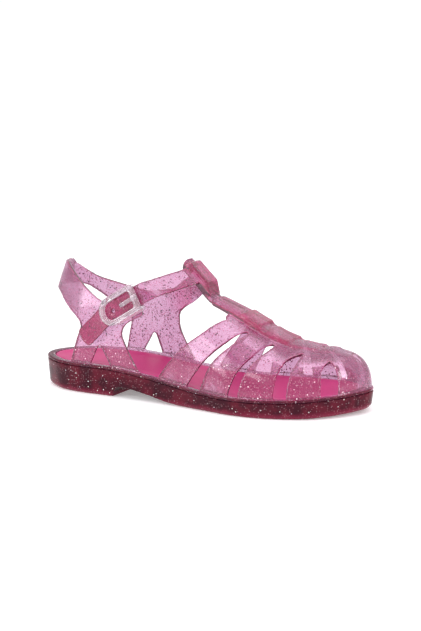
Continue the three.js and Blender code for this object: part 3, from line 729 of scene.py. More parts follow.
@dataclass
class StrapLoop:
    """The tongue of the T-bar and the loop on it that holds the ankle strap."""

    form: SoleForm
    instep: float = 95.0
    thickness: float = 3.0
    slope: float = 44.0
    x: float = -2.6
    z: float = 85.8
    width: float = 14.2
    crown: float = 1.2
    tab: float = 4.4
    roof: float = 2.6
    front: float = 11.5
    toe: float = 8.0
    toe_height: float = 0.2
    rear_wall: float = 1.6
    rear_lean: float = 0.2
    rear_rise: float = 0.55
    rear_run: float = 2.4
    tab_tip: float = 0.14
    tab_lift: float = 0.75
    strap_width: float = 14.0
    strap_thickness: float = 2.2
    rows: tuple[tuple[float, float, float], ...] = (
        (0.532, 0.79, 0.53), (0.552, 0.747, 0.58), (0.58, 0.716, 0.66), (0.625, 0.666, 0.73),
        (0.66, 0.617, 0.66),
    )

    @cached_property
    def along(self) -> Points:
        """The direction down the tongue's slope, towards the toe."""
        return point(math.cos(math.radians(self.slope)), 0, -math.sin(math.radians(self.slope)))

    @cached_property
    def normal(self) -> Points:
        """The direction that stands away from the tongue."""
        return point(math.sin(math.radians(self.slope)), 0, math.cos(math.radians(self.slope)))

    @property
    def slot_length(self) -> float:
        """The slot's length down the slope."""
        return self.strap_width + 4 * self.form.clearance

    @property
    def slot_height(self) -> float:
        """The slot's clear height."""
        return self.strap_thickness + 2.5 * self.form.clearance

    def spot(self, along: float, off: float) -> Points:
        """Returns a point of the middle plane, in the tongue's own directions."""
        return point(self.x, 0, self.z) + along * self.along + off * self.normal

    def tongue(self) -> Shell:
        """Returns the strip from the tab through the loop to the spine."""
        half = self.slot_length / 2
        tab, tip, lift = self.tab, self.tab_tip, self.tab_lift * self.tab
        straight = [(self.spot(-half - tab, lift), tip)]
        for t in (0.9, 0.75, 0.55, 0.3):
            width = tip + (0.5 - tip) * math.sqrt(1 - t * t)
            straight.append((self.spot(-half - t * tab, lift * smooth(t)), width))
        straight += [(self.spot(-half, 0), 0.5), (self.spot(half, 0), 0.5)]
        up, half_share = (SmoothCurve.column(self.rows, k) for k in (1, 2))
        bent = [
            (point(self.form.rise(s), 0, self.instep * up(s)), half_share(s))
            for s in np.linspace(self.rows[0][0], self.rows[-1][0], 19)
        ]
        stops = straight + bent
        rings = []
        for i, (spot, share) in enumerate(stops):
            before, after = stops[max(0, i - 1)][0], stops[min(len(stops) - 1, i + 1)][0]
            run = unit(after - before)
            is_straight = i < len(straight)
            out = self.normal if is_straight else point(-run[2], 0, run[0])
            wide = share * self.width
            crown = 0 if is_straight else self.crown
            shares = np.linspace(-1, 1, 9)
            ring = [spot - crown * t * t * out + point(0, wide * t, 0) for t in shares]
            ring += [spot - self.thickness * out + point(0, wide * t, 0) for t in -shares]
            rings.append(np.array(ring))
        return Shell.from_rings(rings)

    def bridge(self) -> Shell:
        """Returns the loop over the strap, with its slot cut out."""
        top = self.slot_height + self.roof
        half = self.slot_length / 2
        foot = half + self.rear_wall
        profile = [
            (-foot, -self.thickness / 2),
            (-foot + self.rear_lean, self.rear_rise * top),
            (-foot + self.rear_run, top),
            (self.front, top),
            (self.front + self.toe, self.toe_height),
            (self.front + self.toe, -self.thickness / 2),
        ]
        mouth = [(-half, 0), (-half, self.slot_height), (half, self.slot_height), (half, 0)]
        corners, opening = ([self.spot(*pair)[[0, 2]] for pair in line] for line in (profile, mouth))
        block = Shell.prism(corners, -self.width / 2, self.width / 2)
        return block.worked([Shell.prism(opening, -self.width, self.width)], Cut.REMOVE)

    def shells(self) -> list[Shell]:
        """Returns the loop's closed shells."""
        return [self.tongue(), self.bridge()]


def spline(points: Sequence[Sequence[float]], per_span: int) -> list[tuple[float, float]]:
    """Returns points of an even spline through the given ones, the first included."""
    made = []
    last = len(points) - 1
    at = np.array(points, float)
    for i in range(last):
        p0, p1, p2, p3 = at[max(i - 1, 0)], at[i], at[i + 1], at[min(i + 2, last)]
        v0, v1 = (p2 - p0) / 2, (p3 - p1) / 2
        for t in np.linspace(0, 1, per_span, endpoint=False):
            made.append(
                (2 * p1 - 2 * p2 + v0 + v1) * t**3
                + (-3 * p1 + 3 * p2 - 2 * v0 - v1) * t * t
                + v0 * t
                + p1
            )
    made.append(at[-1])
    return [(float(p[0]), float(p[1])) for p in made]


@dataclass
class HeelQuarters:
    """The heel band and the two quarters that rise from the sole, cut from one cup."""

    form: SoleForm
    wall: float = 2.4
    top: float = 88.5
    ankle: float = 60.0
    highest: float = 94.0
    round_start: float = -65.0
    round_length: float = 44.0
    round_powers: tuple[float, float] = (0.92, 0.86)
    skin_reach: tuple[float, float] = (14.0, 19.4)
    core_reach: tuple[float, float] = (18.0, 15.0)
    overlap: float = 0.05
    skew: float = 11.0
    cutout_round: float = 4.8
    cup_rows: tuple[tuple[float, float, float], ...] = (
        (0.1, 0.01, 0.5), (0.25, 0.025, 0.498), (0.5, 0.09, 0.488), (0.68, 0.13, 0.458),
        (0.85, 0.2, 0.408), (1.05, 0.31, 0.35),
    )
    top_rows: tuple[tuple[float, float, float], ...] = (
        (-0.03, 1.015, 0), (0.02, 1.015, 0), (0.05, 1.015, 0), (0.075, 1.018, -0.3),
        (0.098, 1.008, -0.6), (0.124, 0.966, -1.15), (0.155, 0.902, -1.46), (0.188, 0.833, -1.36),
        (0.233, 0.76, 0), (0.273, 0.752, 0.2), (0.312, 0.79, 1), (0.351, 0.84, 1),
        (0.376, 0.82, 1),
    )
    front_rows: tuple[tuple[float, float, float], ...] = (
        (0.381, 0.675, 0.64), (0.331, 0.598, 1), (0.314, 0.524, 1.24), (0.323, 0.442, 1.13),
        (0.354, 0.29, 1.05), (0.38, 0.19, 1),
    )
    rear_rows: tuple[tuple[float, float, float], ...] = (
        (0.135, 0.19, 1), (0.153, 0.363, 0.9), (0.167, 0.475, 0.8), (0.175, 0.54, 0.6),
        (0.166, 0.593, 0.3), (0.139, 0.65, 0), (0.108, 0.718, 0), (0.069, 0.79, 0),
        (-0.03, 0.83, 0),
    )
    cutout_rows: tuple[tuple[float, float, float], ...] = (
        (0.238, 0.426, 1), (0.285, 0.2, 0.6), (0.2, 0.2, 0.75),
    )

    def cup_ring(self, z: float, out: float, front: float) -> Points:
        """Returns the cup's outline at a height, grown by out."""
        up = z / self.top
        lean, share = (SmoothCurve.column(self.cup_rows, k) for k in (1, 2))
        rear = self.form.heel_x + self.ankle * lean(up) - out
        half = self.ankle * share(up) + out
        steps = 34
        edge = [(x, half) for x in np.linspace(front, self.round_start, 14)]
        flat, blunt = self.round_powers
        for i in range(steps):
            turn = (steps - i - 0.5) / steps * math.pi / 2
            x = rear + self.round_length * (1 - math.cos(turn) ** flat)
            edge.append((x, half * math.sin(turn) ** blunt))
        lateral = [point(x, self.form.centre_at(x) - y, z) for x, y in edge]
        medial = [point(x, self.form.centre_at(x) + y, z) for x, y in reversed(edge)]
        return np.array(lateral + medial)

    def cup(self, out: float, front: float, lowest: float) -> Shell:
        """Returns the filled cup, grown by out, up from lowest and forward to front."""
        heights = np.linspace(lowest, self.highest, 40)
        return Shell.from_rings([self.cup_ring(z, out, front) for z in heights])

    def side_points(self, rows: Sequence[tuple[float, float, float]], side: int) -> list[Points]:
        """Returns rows as x and z on one side of the foot."""
        shift = self.skew if side > 0 else 0
        return [np.array((self.form.rise(a) + shift * k, u * self.top)) for a, u, k in rows]

    def outline(self, side: int) -> list[tuple[float, float]]:
        """Returns the side outline of a quarter and its half of the heel band."""
        edges = (self.top_rows, self.front_rows, self.rear_rows)
        return [spot for rows in edges for spot in spline(self.side_points(rows, side), 8)]

    def cutout(self, side: int) -> list[tuple[float, float]]:
        """Returns the three-cornered window's outline, with its corners rounded."""
        corners = self.side_points(self.cutout_rows, side)
        outline = []
        for i, corner in enumerate(corners):
            others = corners[i - 1], corners[(i + 1) % 3]
            enter, leave = (corner + self.cutout_round * unit(other - corner) for other in others)
            for t in np.linspace(0, 1, 9):
                spot = (1 - t) ** 2 * enter + 2 * t * (1 - t) * corner + t * t * leave
                outline.append((float(spot[0]), float(spot[1])))
        return outline

    def shells(self) -> list[Shell]:
        """Returns the lateral and the medial half of the cup's skin."""
        wide = self.form.width
        core = self.cup(-self.wall, *self.core_reach)
        skin = self.cup(0, *self.skin_reach).worked([core], Cut.REMOVE)
        halves = []
        for side in (-1, 1):
            start, end = sorted((-self.overlap * side, side * wide))
            plate = Shell.prism(self.outline(side), start, end)
            window = Shell.prism(self.cutout(side), *sorted((0.0, side * wide)))
            halves.append(skin.worked([plate.worked([window], Cut.REMOVE)], Cut.KEEP))
        return halves


@dataclass
class BuckleFrame:
    """The clear ring that the strap threads through, with its centre bar."""

    form: SoleForm
    quarters: HeelQuarters
    strap_width: float = 14.0
    strap_thickness: float = 2.2
    length: float = 33.5
    rail: float = 2.3
    front_bar: float = 4.0
    rear_bar: float = 3.8
    top: float = 2.3
    bar_thickness: float = 2.2
    bar_width: float = 2.4
    corner: float = 0.3
    over: float = 1.0
    prong_shank: float = 1.6
    prong_short: float = 1.6
    prong_leg: float = 0.35
    prong_sink: float = 0.5
    prong_width: float = 2.6
    prong_thickness: float = 1.7
    x: float = -43.5
    z: float = 65.2
    inset: float = 0.4
    slope: float = 31.0
    lean: float = 9.0
    moulding: Moulding = Moulding(0.26)
    prong_moulding: Moulding = Moulding(0.16)

    @cached_property
    def axes(self) -> tuple[Points, Points, Points]:
        """Directions up the strap, across it and away from the foot."""
        slope, lean = math.radians(self.slope), math.radians(self.lean)
        along = point(math.cos(slope), 0, math.sin(slope))
        off = point(0, -math.cos(lean), math.sin(lean))
        off = unit(off - np.dot(off, along) * along)
        return along, np.cross(off, along), off

    @property
    def origin(self) -> Points:
        """The middle of the ring's back."""
        out = self.quarters.ankle / 2 - self.inset
        return point(self.x, self.form.centre_at(self.x) - out, self.z)

    @property
    def front(self) -> float:
        """Half the ring's length."""
        return self.length / 2

    @property
    def strap_level(self) -> float:
        """The level of the strap's underside in the ring."""
        return self.bar_thickness + self.form.clearance

    @property
    def roof_level(self) -> float:
        """The underside of the ring's cross pieces."""
        return self.strap_level + self.strap_thickness + self.form.clearance

    @property
    def depth(self) -> float:
        """The ring's full depth."""
        return self.roof_level + self.top

    @property
    def prong_rear(self) -> float:
        """Where the prong starts, just ahead of the centre bar."""
        return self.bar_width / 2 + self.form.clearance

    @property
    def prong_tip(self) -> float:
        """Where the prong ends."""
        return self.front - self.prong_short

    def spot(self, along: float, across: float, off: float) -> Points:
        """Returns a point given in the ring's own directions."""
        a, b, c = self.axes
        return self.origin + along * a + across * b + off * c

    def block(self, along: Sequence[float], across: Sequence[float], off: Sequence[float]) -> Shell:
        """Returns a box between pairs of places in the ring's own directions."""
        rings = []
        for a in along:
            corners = ((across[0], off[0]), (across[1], off[0]), (across[1], off[1]), (across[0], off[1]))
            rings.append(np.array([self.spot(a, b, c) for b, c in corners]))
        return Shell.from_rings(rings)

    def loop(self, front: float, rear: float, half: float, start: float, end: float) -> Shell:
        """Returns a D-shaped plate: straight at the loop end, round at the tail end."""
        corner = self.corner * half
        outline = []
        for sign in (-1, 1):
            middle = (front - corner, sign * (half - corner))
            for t in np.linspace(0, math.pi / 2, 9)[::sign]:
                spot = (middle[0] + corner * math.cos(t), middle[1] + sign * corner * math.sin(t))
                outline.append(spot)
        for t in np.linspace(math.pi / 2, 1.5 * math.pi, 41):
            outline.append((rear + half + half * math.cos(t), half * math.sin(t)))
        return Shell.between(*([self.spot(a, b, c) for a, b in outline] for c in (start, end)))

    def build(self) -> bpy.types.Object:
        """Returns the ring with its window, strap corridor, centre bar and prong notch."""
        gap, over, roof = self.form.clearance, self.over, self.roof_level
        half = self.strap_width / 2 + 2 * gap
        outer = self.loop(self.front, -self.front, half + self.rail, 0, self.depth)
        window = self.loop(
            self.front - self.front_bar,
            -self.front + self.rear_bar,
            self.strap_width / 2 - 2 * gap,
            roof - over,
            self.depth + over,
        )
        corridor = self.block((-self.length, self.length), (-half, half), (-over, roof))
        notch_half = self.prong_width / 2 + gap
        notch = self.block(
            (self.front - self.front_bar - over, self.prong_tip + gap),
            (-notch_half, notch_half),
            (roof - over, roof + self.prong_thickness + gap),
        )
        ring = outer.worked([window, corridor, notch], Cut.REMOVE)
        reach, bar_half = half + self.rail / 2, self.bar_width / 2
        bar = self.block((-bar_half, bar_half), (-reach, reach), (0, self.bar_thickness))
        return self.moulding.make("buckle_ring", Shell.join([ring, bar]))

    def build_prong(self) -> bpy.types.Object:
        """Returns the prong, which stands in a strap hole and lies on the front bar."""
        gap, rear = self.form.clearance, self.prong_rear
        half, leg = self.prong_width / 2, self.prong_leg * self.prong_width
        lie = self.roof_level - gap / 2
        shank = self.block((rear, rear + self.prong_shank), (-leg, leg), (gap, lie + self.prong_sink))
        blade = self.block((rear, self.prong_tip), (-half, half), (lie, lie + self.prong_thickness))
        return self.prong_moulding.make("prong", Shell.join([shank, blade]))


@dataclass
class AnkleStrap:
    """The strap from the medial quarter, through loop and ring, to its free tail."""

    form: SoleForm
    loop: StrapLoop
    ring: BuckleFrame
    top: float = 88.5
    hole_radius: float = 1.6
    hole_pitch: float = 9.0
    hole_base: float = 1.0
    hole_over: float = 0.2
    tail_slope: float = 44.0
    tail_length: float = 25.0
    tail_lift: float = 0.9
    tail_end: float = 0.35
    per_stop: int = 12

    def stops(self) -> list[tuple[Points, Points, float]]:
        """Returns places on the strap's middle line, the way its face looks there, and its width."""
        loop, ring = self.loop, self.ring
        middle = loop.spot(0, loop.slot_height / 2)
        level = ring.strap_level + ring.strap_thickness / 2
        tail_level = self.form.clearance + ring.strap_thickness / 2 + self.tail_lift
        turn = math.radians(self.tail_slope - ring.slope)
        ankle = ring.quarters.ankle
        normal, off = loop.normal, ring.axes[2]

        def side(along: float, share: float, up: float) -> Points:
            """Returns a place given by shares of the sole's length, the ankle and the top."""
            return point(self.form.rise(along), share * ankle, up * self.top)

        def in_loop(share: float) -> Points:
            """Returns a place in the loop, at a share of the ankle's width."""
            return point(middle[0], share * ankle, middle[2])

        def in_tail(share: float) -> Points:
            """Returns a place at a share of the tail's length."""
            reach = self.tail_length * share
            return ring.spot(-ring.front - math.cos(turn) * reach, -math.sin(turn) * reach, tail_level)

        return [
            (side(0.333, 0.445, 0.64), point(0, 1, 0.12), 0.97),
            (side(0.401, 0.412, 0.767), point(0.12, 1, 0.3), 1.18),
            (side(0.453, 0.32, 0.876), point(0.4, 0.75, 0.55), 1.1),
            (in_loop(0.16) - point(1, 0, 1.4), normal + point(0, 0.25, 0), 1),
            (in_loop(0.07), normal, 1),
            (in_loop(-0.07), normal, 1),
            (in_loop(-0.16) - point(1.2, 0, 1.3), normal - point(0, 0.3, 0), 1),
            (side(0.431, -0.345, 0.908), point(0.36, -0.74, 0.57), 0.97),
            (ring.spot(ring.front + 6, 0, level), off, 1),
            (ring.spot(ring.front - 2, 0, level), off, 1),
            (ring.spot(0, 0, level), off, 1),
            (ring.spot(-ring.front + 3, 0, level), off, 1),
            (in_tail(0.3), off, 1),
            (in_tail(1), off, 1),
        ]

    @staticmethod
    def along(points: Sequence[Points], t: float) -> tuple[Points, Points]:
        """Returns a point and a tangent of a centripetal curve through the points.

        Args:
            points: Places on the curve.
            t: From 0 at the first to len(points) - 1 at the last.
        """
        last = len(points) - 1
        i = min(int(t), last - 1)
        w = t - i
        p1, p2 = points[i], points[i + 1]
        p0 = points[i - 1] if i > 0 else 2 * p1 - p2
        p3 = points[i + 2] if i + 2 <= last else 2 * p2 - p1
        spans = ((p0, p1), (p1, p2), (p2, p3))
        d0, d1, d2 = (max(float(np.linalg.norm(b - a)) ** 0.5, 1e-4) for a, b in spans)
        t1 = ((p1 - p0) / d0 - (p2 - p0) / (d0 + d1) + (p2 - p1) / d1) * d1
        t2 = ((p2 - p1) / d1 - (p3 - p1) / (d1 + d2) + (p3 - p2) / d2) * d1
        c2, c3 = -3 * p1 + 3 * p2 - 2 * t1 - t2, 2 * p1 - 2 * p2 + t1 + t2
        return p1 + w * (t1 + w * (c2 + w * c3)), t1 + w * (2 * c2 + 3 * w * c3)

    def strip(self) -> Shell:
        """Returns the strap without its holes."""
        stops = self.stops()
        ats, offs, widths = zip(*stops)
        width_at = SmoothCurve(range(len(stops)), widths)
        count = self.per_stop * (len(stops) - 1)
        half, flat = self.ring.strap_width / 2, self.ring.strap_thickness / 2
        rings = []
        for k in range(count + 1):
            t = k / self.per_stop
            at, run = self.along(ats, t)
            run = unit(run)
            off = self.along(offs, t)[0]
            off = unit(off - np.dot(off, run) * run)
            wide = half * width_at(t)
            if k >= count - 1:
                wide = min(wide, half * smooth((count - k) / 2 + self.tail_end))
            across = np.cross(off, run) * wide
            shares = np.linspace(-1, 1, 9)
            ring = [at - across * s + off * flat for s in shares]
            ring += [at + across * s - off * flat for s in shares]
            rings.append(np.array(ring))
        return Shell.from_rings(rings)

    def holes(self) -> list[Shell]:
        """Returns the cutters of the strap's holes."""
        ring, radius = self.ring, self.hole_radius
        middle = ring.prong_rear + ring.prong_shank / 2
        turns = np.linspace(0, 2 * math.pi, 24, endpoint=False) + math.pi / 24
        cutters = []
        for along in (middle - self.hole_pitch, middle, middle + self.hole_pitch):
            places = [(along + radius * math.cos(t), radius * math.sin(t)) for t in turns]
            levels = (self.hole_base, ring.roof_level + self.hole_over)
            cutters.append(Shell.from_rings([[ring.spot(*place, z) for place in places] for z in levels]))
        return cutters

    def shells(self) -> list[Shell]:
        """Returns the strap with its holes."""
        return [self.strip().worked(self.holes(), Cut.REMOVE)]


@dataclass
class Upper:
    """The one clear moulding: cage, welt, T-bar, loop, quarters and ankle strap."""

    form: SoleForm
    vamp: Vamp
    loop: StrapLoop
    quarters: HeelQuarters
    strap: AnkleStrap
    welt_depth: float = 3.4
    welt_top: float = 0.9
    welt_zone: float = 1.0
    side_fade: tuple[float, float] = (-0.5, 0.9)
    edge_fade: tuple[float, float] = (0.2, 0.9)
    heel_fade: tuple[float, float] = (0.04, 0.1)
    rim_fade: tuple[float, float] = (3.5, 1.5)
    side_dark: float = 0.92
    heel_dark: float = 0.75
    medial_dark: float = 0.15
    loop_depth: float = 5.6
    loop_level: float = 0.5
    loop_margin: float = 1.0
    spine_depth: float = 6.6
    spine_reach: float = 14.0
    tail_depth: float = 5.4
    tail_level: float = 0.8
    line_depth: float = 8.6
    line_gain: float = 3.2
    joint_depth: float = 4.6
    joint_x: tuple[float, float] = (-30.0, -12.0)
    joint_z: tuple[float, float] = (58.0, 74.0)
    moulding: Moulding = Moulding(0.62)

    def build(self) -> bpy.types.Object:
        """Returns the moulding, with its wall depth and its welt kept for the finish."""
        parts = (self.vamp, self.loop, self.quarters, self.strap)
        shells = [shell for part in parts for shell in part.shells()]
        item = self.moulding.make("upper_moulding", Shell.join(shells))
        spots = positions(item.data) / MM
        depths = self.colour_depths(spots, measure_depth(item))
        deep = (depths > self.line_depth).astype(float)
        lines = np.clip(self.line_gain * spread(item, deep, 4), 0, 1)
        keep_values(item, "depth", spread(item, np.minimum(depths, self.line_depth), 2))
        keep_values(item, "line", lines)
        keep_values(item, "welt", self.welt_share(spots))
        return item

    def colour_depths(self, spots: Points, depths: Points) -> Points:
        """Returns the depths that the colour follows.

        Args:
            spots: Places in millimetres.
            depths: The wall's measured depth at each of them.

        Returns:
            The same depths, but pale in the flat welt, without dark edges in the loop, on the
            raised spine or where the strap grows out of the medial quarter, and deep where the
            strap's tail lies over the lateral one.
        """
        form, loop, ring = self.form, self.loop, self.strap.ring
        above = spots[:, 2] - np.array([form.rim_at(x) for x in spots[:, 0]])
        held = np.where(above < self.welt_top, np.minimum(depths, self.welt_depth), depths)
        local = spots - loop.spot(0, 0)
        along, off = local @ loop.along, local @ loop.normal
        reach = loop.front + loop.toe - self.loop_margin
        in_loop = (abs(along) < reach) & (off > self.loop_level)
        in_loop &= abs(local[:, 1]) < loop.width / 2 + self.loop_margin
        held = np.where(in_loop, np.minimum(held, self.loop_depth), held)
        x, y, z = spots.T
        rear, front = (form.rise(share) for share in self.vamp.spine_ends)
        raised = (rear - form.welt < x) & (x < front + form.welt) & (abs(y) < self.spine_reach)
        raised[raised] = [self.vamp.outside(spot) > form.welt / 2 for spot in spots[raised]]
        held = np.where(raised, np.minimum(held, self.spine_depth), held)
        in_joint = (y > 0) & (self.joint_x[0] < x) & (x < self.joint_x[1])
        in_joint &= (self.joint_z[0] < z) & (z < self.joint_z[1])
        held = np.where(in_joint, np.minimum(held, self.joint_depth), held)
        a, b, c = ((spots - ring.origin) @ axis for axis in ring.axes)
        in_tail = (abs(b) < ring.strap_width) & (c > self.tail_level) & (a < ring.front)
        in_tail &= a > -ring.front - self.strap.tail_length
        return np.where(in_tail, np.maximum(held, self.tail_depth), held)

    def welt_share(self, spots: Points) -> Points:
        """Returns how much of the sole's dark colour shows in the welt at each place.

        Args:
            spots: Places in millimetres.
        """
        outline, inward = self.form.outline
        tree = KDTree(len(outline))
        for i, (x, y, _) in enumerate(outline):
            tree.insert((x, y, 0), i)
        tree.balance()
        shares = np.zeros(len(spots))
        for i, (x, y, z) in enumerate(spots):
            above = z - self.form.rim_at(x)
            if above > self.welt_zone:
                continue
            near = tree.find((x, y, 0))[1]
            inset = float(np.dot(np.array((x, y, 0)) - outline[near], inward[near]))
            side = self.side_dark * fade(above, *self.side_fade) * fade(inset, *self.edge_fade)
            if y > self.form.centre_at(x):
                side *= self.medial_dark
            heel = self.heel_dark * fade(self.form.station(x), *self.heel_fade)
            shares[i] = max(side, heel * fade(inset, *self.rim_fade))
        return shares


class Wire:
    """A shader socket that takes part in Python's arithmetic."""

    def __init__(self, shader: "Shader", socket: bpy.types.NodeSocket) -> None:
        """Keeps the socket and the shader that it belongs to."""
        self.shader = shader
        self.socket = socket

    def _math(self, operation: str, *values: "Value") -> "Wire":
        """Returns a Math node's result on the values."""
        return self.shader.add("ShaderNodeMath", {"operation": operation}, dict(enumerate(values)))

    def __add__(self, other: "Value") -> "Wire":
        """Adds."""
        return self._math("ADD", self, other)

    def __sub__(self, other: "Value") -> "Wire":
        """Subtracts."""
        return self._math("SUBTRACT", self, other)

    def __rsub__(self, other: "Value") -> "Wire":
        """Subtracts the wire from a number."""
        return self._math("SUBTRACT", other, self)

    def __mul__(self, other: "Value") -> "Wire":
        """Multiplies."""
        return self._math("MULTIPLY", self, other)

    def __lt__(self, other: "Value") -> "Wire":
        """Returns 1 where the wire is less."""
        return self._math("LESS_THAN", self, other)

    __radd__ = __add__
    __rmul__ = __mul__

    def ramp(self, low: float, high: float, start: float = 0.0, end: float = 1.0) -> "Wire":
        """Returns an even step from start, where the wire is low, to end, where it is high."""
        return self.shader.add(
            "ShaderNodeMapRange",
            {"interpolation_type": "SMOOTHSTEP"},
            {"Value": self, "From Min": low, "From Max": high, "To Min": start, "To Max": end},
        )

    def twin(self, output: int | str) -> "Wire":
        """Returns another output of the same node."""
        return Wire(self.shader, self.socket.node.outputs[output])


Value = Union[Wire, float]
Paint = Union[Wire, Colour]


@dataclass(frozen=True)
class Flakes:
    """Round flakes that are scattered through a material.

    Their mean distance is the pitch, in metres, and the radius is a share of it. The share says how
    many of the places hold a flake, and the seed moves the pattern.
    """

    pitch: float
    radius: float
    share: float
    seed: float


class Shader:
    """A material's nodes, made one at a time."""

    def __init__(self, name: str) -> None:
        """Starts an empty material of that name."""
        self.material = bpy.data.materials.new(name)
        self.material.use_nodes = True
        self.tree = self.material.node_tree
        self.tree.nodes.clear()

    def add(
        self,
        kind: str,
        settings: dict | None = None,
        sockets: dict | None = None,
        output: int | str = 0,
    ) -> Wire:
        """Makes a node.

        Args:
            kind: The node's type.
            settings: Its properties, which are set first.
            sockets: The values or wires of its inputs, by name or number.
            output: Which output the wire stands for.

        Returns:
            The wire of that output.
        """
        node = self.tree.nodes.new(kind)
        for name, value in (settings or {}).items():
            setattr(node, name, value)
        for key, value in (sockets or {}).items():
            if isinstance(value, Wire):
                self.tree.links.new(value.socket, node.inputs[key])
            else:
                node.inputs[key].default_value = value
        return Wire(self, node.outputs[output])

    def place(self) -> Wire:
        """Returns the surface's own coordinates, in metres."""
        return self.add("ShaderNodeTexCoord", output="Object")

    def along(self, axis: str) -> Wire:
        """Returns one of the surface's own coordinates, in metres."""
        return self.add("ShaderNodeSeparateXYZ", sockets={0: self.place()}, output=axis)

    def kept(self, name: str) -> Wire:
        """Returns the number that the mesh keeps under a name."""
        return self.add("ShaderNodeAttribute", {"attribute_name": name}, output="Fac")

    def blend(self, factor: Value, first: Paint, second: Paint) -> Wire:
        """Returns the mix of two colours."""
        return self.add("ShaderNodeMix", {"data_type": "RGBA"}, {0: factor, 6: first, 7: second}, 2)

    def layer(self, factor: Value, first: Wire, second: Wire) -> Wire:
        """Returns the mix of two shaders."""
        return self.add("ShaderNodeMixShader", sockets={0: factor, 1: first, 2: second})

    def plastic(self, sockets: dict) -> Wire:
        """Returns a solid plastic with the values or wires of its sockets."""
        return self.add("ShaderNodeBsdfPrincipled", sockets=sockets)

    def film(self, colour: Colour) -> Wire:
        """Returns a clear film that tints what lies behind it."""
        return self.add("ShaderNodeBsdfTransparent", sockets={0: colour})

    def edge(self) -> Wire:
        """Returns how far the surface turns away from the eye."""
        return self.add("ShaderNodeLayerWeight", sockets={"Blend": 0.5}, output="Facing")

    def bumps(self, strength: float, distance: float, height: Wire) -> Wire:
        """Returns the normal of a surface with bumps of that height."""
        sockets = {"Strength": strength, "Distance": distance, "Height": height}
        return self.add("ShaderNodeBump", sockets=sockets)

    def coated(self, share: float, under: Wire, roughness: float, facing: dict) -> Wire:
        """Returns a surface under a gloss that grows towards its edges.

        Args:
            share: How strong the gloss is.
            under: What it lies on.
            roughness: The gloss's roughness.
            facing: The socket of its bumpy normal, if it has one.
        """
        white = {"Color": (1, 1, 1, 1), "Roughness": roughness}
        gloss = self.add("ShaderNodeBsdfGlossy", sockets={**white, **facing})
        mirror = self.add("ShaderNodeFresnel", sockets={"IOR": 1.5, **facing})
        return self.layer(mirror * share, under, gloss)

    def noise(self, size: float, detail: float = 2.0) -> Wire:
        """Returns soft noise between 0 and 1 whose blots are about size metres."""
        sockets = {"Vector": self.place(), "Scale": 1 / size, "Detail": detail}
        return self.add("ShaderNodeTexNoise", {"noise_dimensions": "3D"}, sockets)

    def scatter(self, kind: Flakes) -> tuple[Wire, Wire]:
        """Returns the mask of the flakes and a colour that differs from flake to flake."""
        shift = (kind.seed, 0.37 * kind.seed, 0.71 * kind.seed)
        moved = self.add("ShaderNodeVectorMath", {"operation": "ADD"}, {0: self.place(), 1: shift})
        sockets = {"Vector": moved, "Scale": 1 / kind.pitch, "Randomness": 1.0}
        distance = self.add("ShaderNodeTexVoronoi", {"feature": "F1"}, sockets)
        colour = distance.twin("Color")
        chance = self.add("ShaderNodeSeparateColor", sockets={0: colour})
        near = distance.ramp(0.7 * kind.radius, 1.1 * kind.radius, 1.0, 0.0)
        return near * (chance < kind.share) * (0.55 + 0.45 * chance.twin(1)), colour

    def finish(self, surface: Wire) -> bpy.types.Material:
        """Joins the surface to the output and returns the material."""
        output = self.tree.nodes.new("ShaderNodeOutputMaterial")
        self.tree.links.new(surface.socket, output.inputs["Surface"])
        return self.material


@dataclass(frozen=True)
class SoleGlitter:
    """Dark, glossy, glitter-filled plastic that turns redder towards the foot, partly its own colour
    where the foot thins and partly painted glow of light through it; its large flakes carry a painted
    glint.
    """

    dark: Colour = (0.043, 0.005, 0.012, 1)
    warm: Colour = (0.13, 0.010, 0.024, 1)
    # Red of the foot: partly the plastic's own colour where it thins, partly painted glow of light
    # shining through it.
    low: Colour = (0.29, 0.020, 0.062, 1)
    sparkle: Colour = (0.95, 0.82, 0.84, 1)
    blush: Colour = (0.55, 0.12, 0.16, 1)
    big: Flakes = Flakes(0.0025, 0.15, 0.3, 3.0)
    fine: Flakes = Flakes(0.0011, 0.26, 0.62, 7.0)
    fine_share: float = 0.4
    sparkle_share: float = 0.8
    cloud_size: float = 0.011
    cloud_share: float = 0.7
    foot_lift: tuple[float, float] = (0.4, 5.4)
    foot_share: float = 0.6
    bump: tuple[float, float, float] = (0.12, 0.0006, 0.006)
    sheen_size: float = 0.02
    roughness: tuple[float, float] = (0.2, 0.34)
    specular: float = 0.09
    # Strength of the painted glint that the large flakes give off.
    glow: float = 0.25

    def surface(self, shader: Shader, lift: Wire) -> Wire:
        """Returns the surface, from the height in mm above the ground."""
        clouds = shader.noise(self.cloud_size, 3).ramp(0.38, 0.68)
        deep = shader.blend(clouds * self.cloud_share, self.dark, self.warm)
        # Redder near the ground: partly the thin foot's own colour, partly painted glow of light through
        # it.
        foot = lift.ramp(*self.foot_lift, 1.0, 0.0)
        base = shader.blend(foot * self.foot_share, deep, self.low)
        big, big_hue = shader.scatter(self.big)
        fine, fine_hue = shader.scatter(self.fine)
        chance = shader.add("ShaderNodeSeparateColor", sockets={0: fine_hue}, output=2)
        dust = shader.blend(chance, self.blush, self.sparkle)
        base = shader.blend(fine * self.fine_share, base, dust)
        base = shader.blend(big, base, shader.blend(self.sparkle_share, big_hue, self.sparkle))
        strength, distance, size = self.bump
        return shader.plastic(
            {
                "Base Color": base,
                "Roughness": shader.noise(self.sheen_size).ramp(0.3, 0.7, *self.roughness),
                "Specular IOR Level": self.specular,
                # Painted glint: the large flakes glow, though they are no lamp.
                "Emission Color": shader.blend(big, BLACK, self.sparkle),
                "Emission Strength": self.glow,
                "Normal": shader.bumps(strength, distance, shader.noise(size)),
            }
        )

    def material(self) -> bpy.types.Material:
        """Returns the outsole's material."""
        shader = Shader("dark_glitter_plastic")
        return shader.finish(self.surface(shader, shader.kept("lift")))


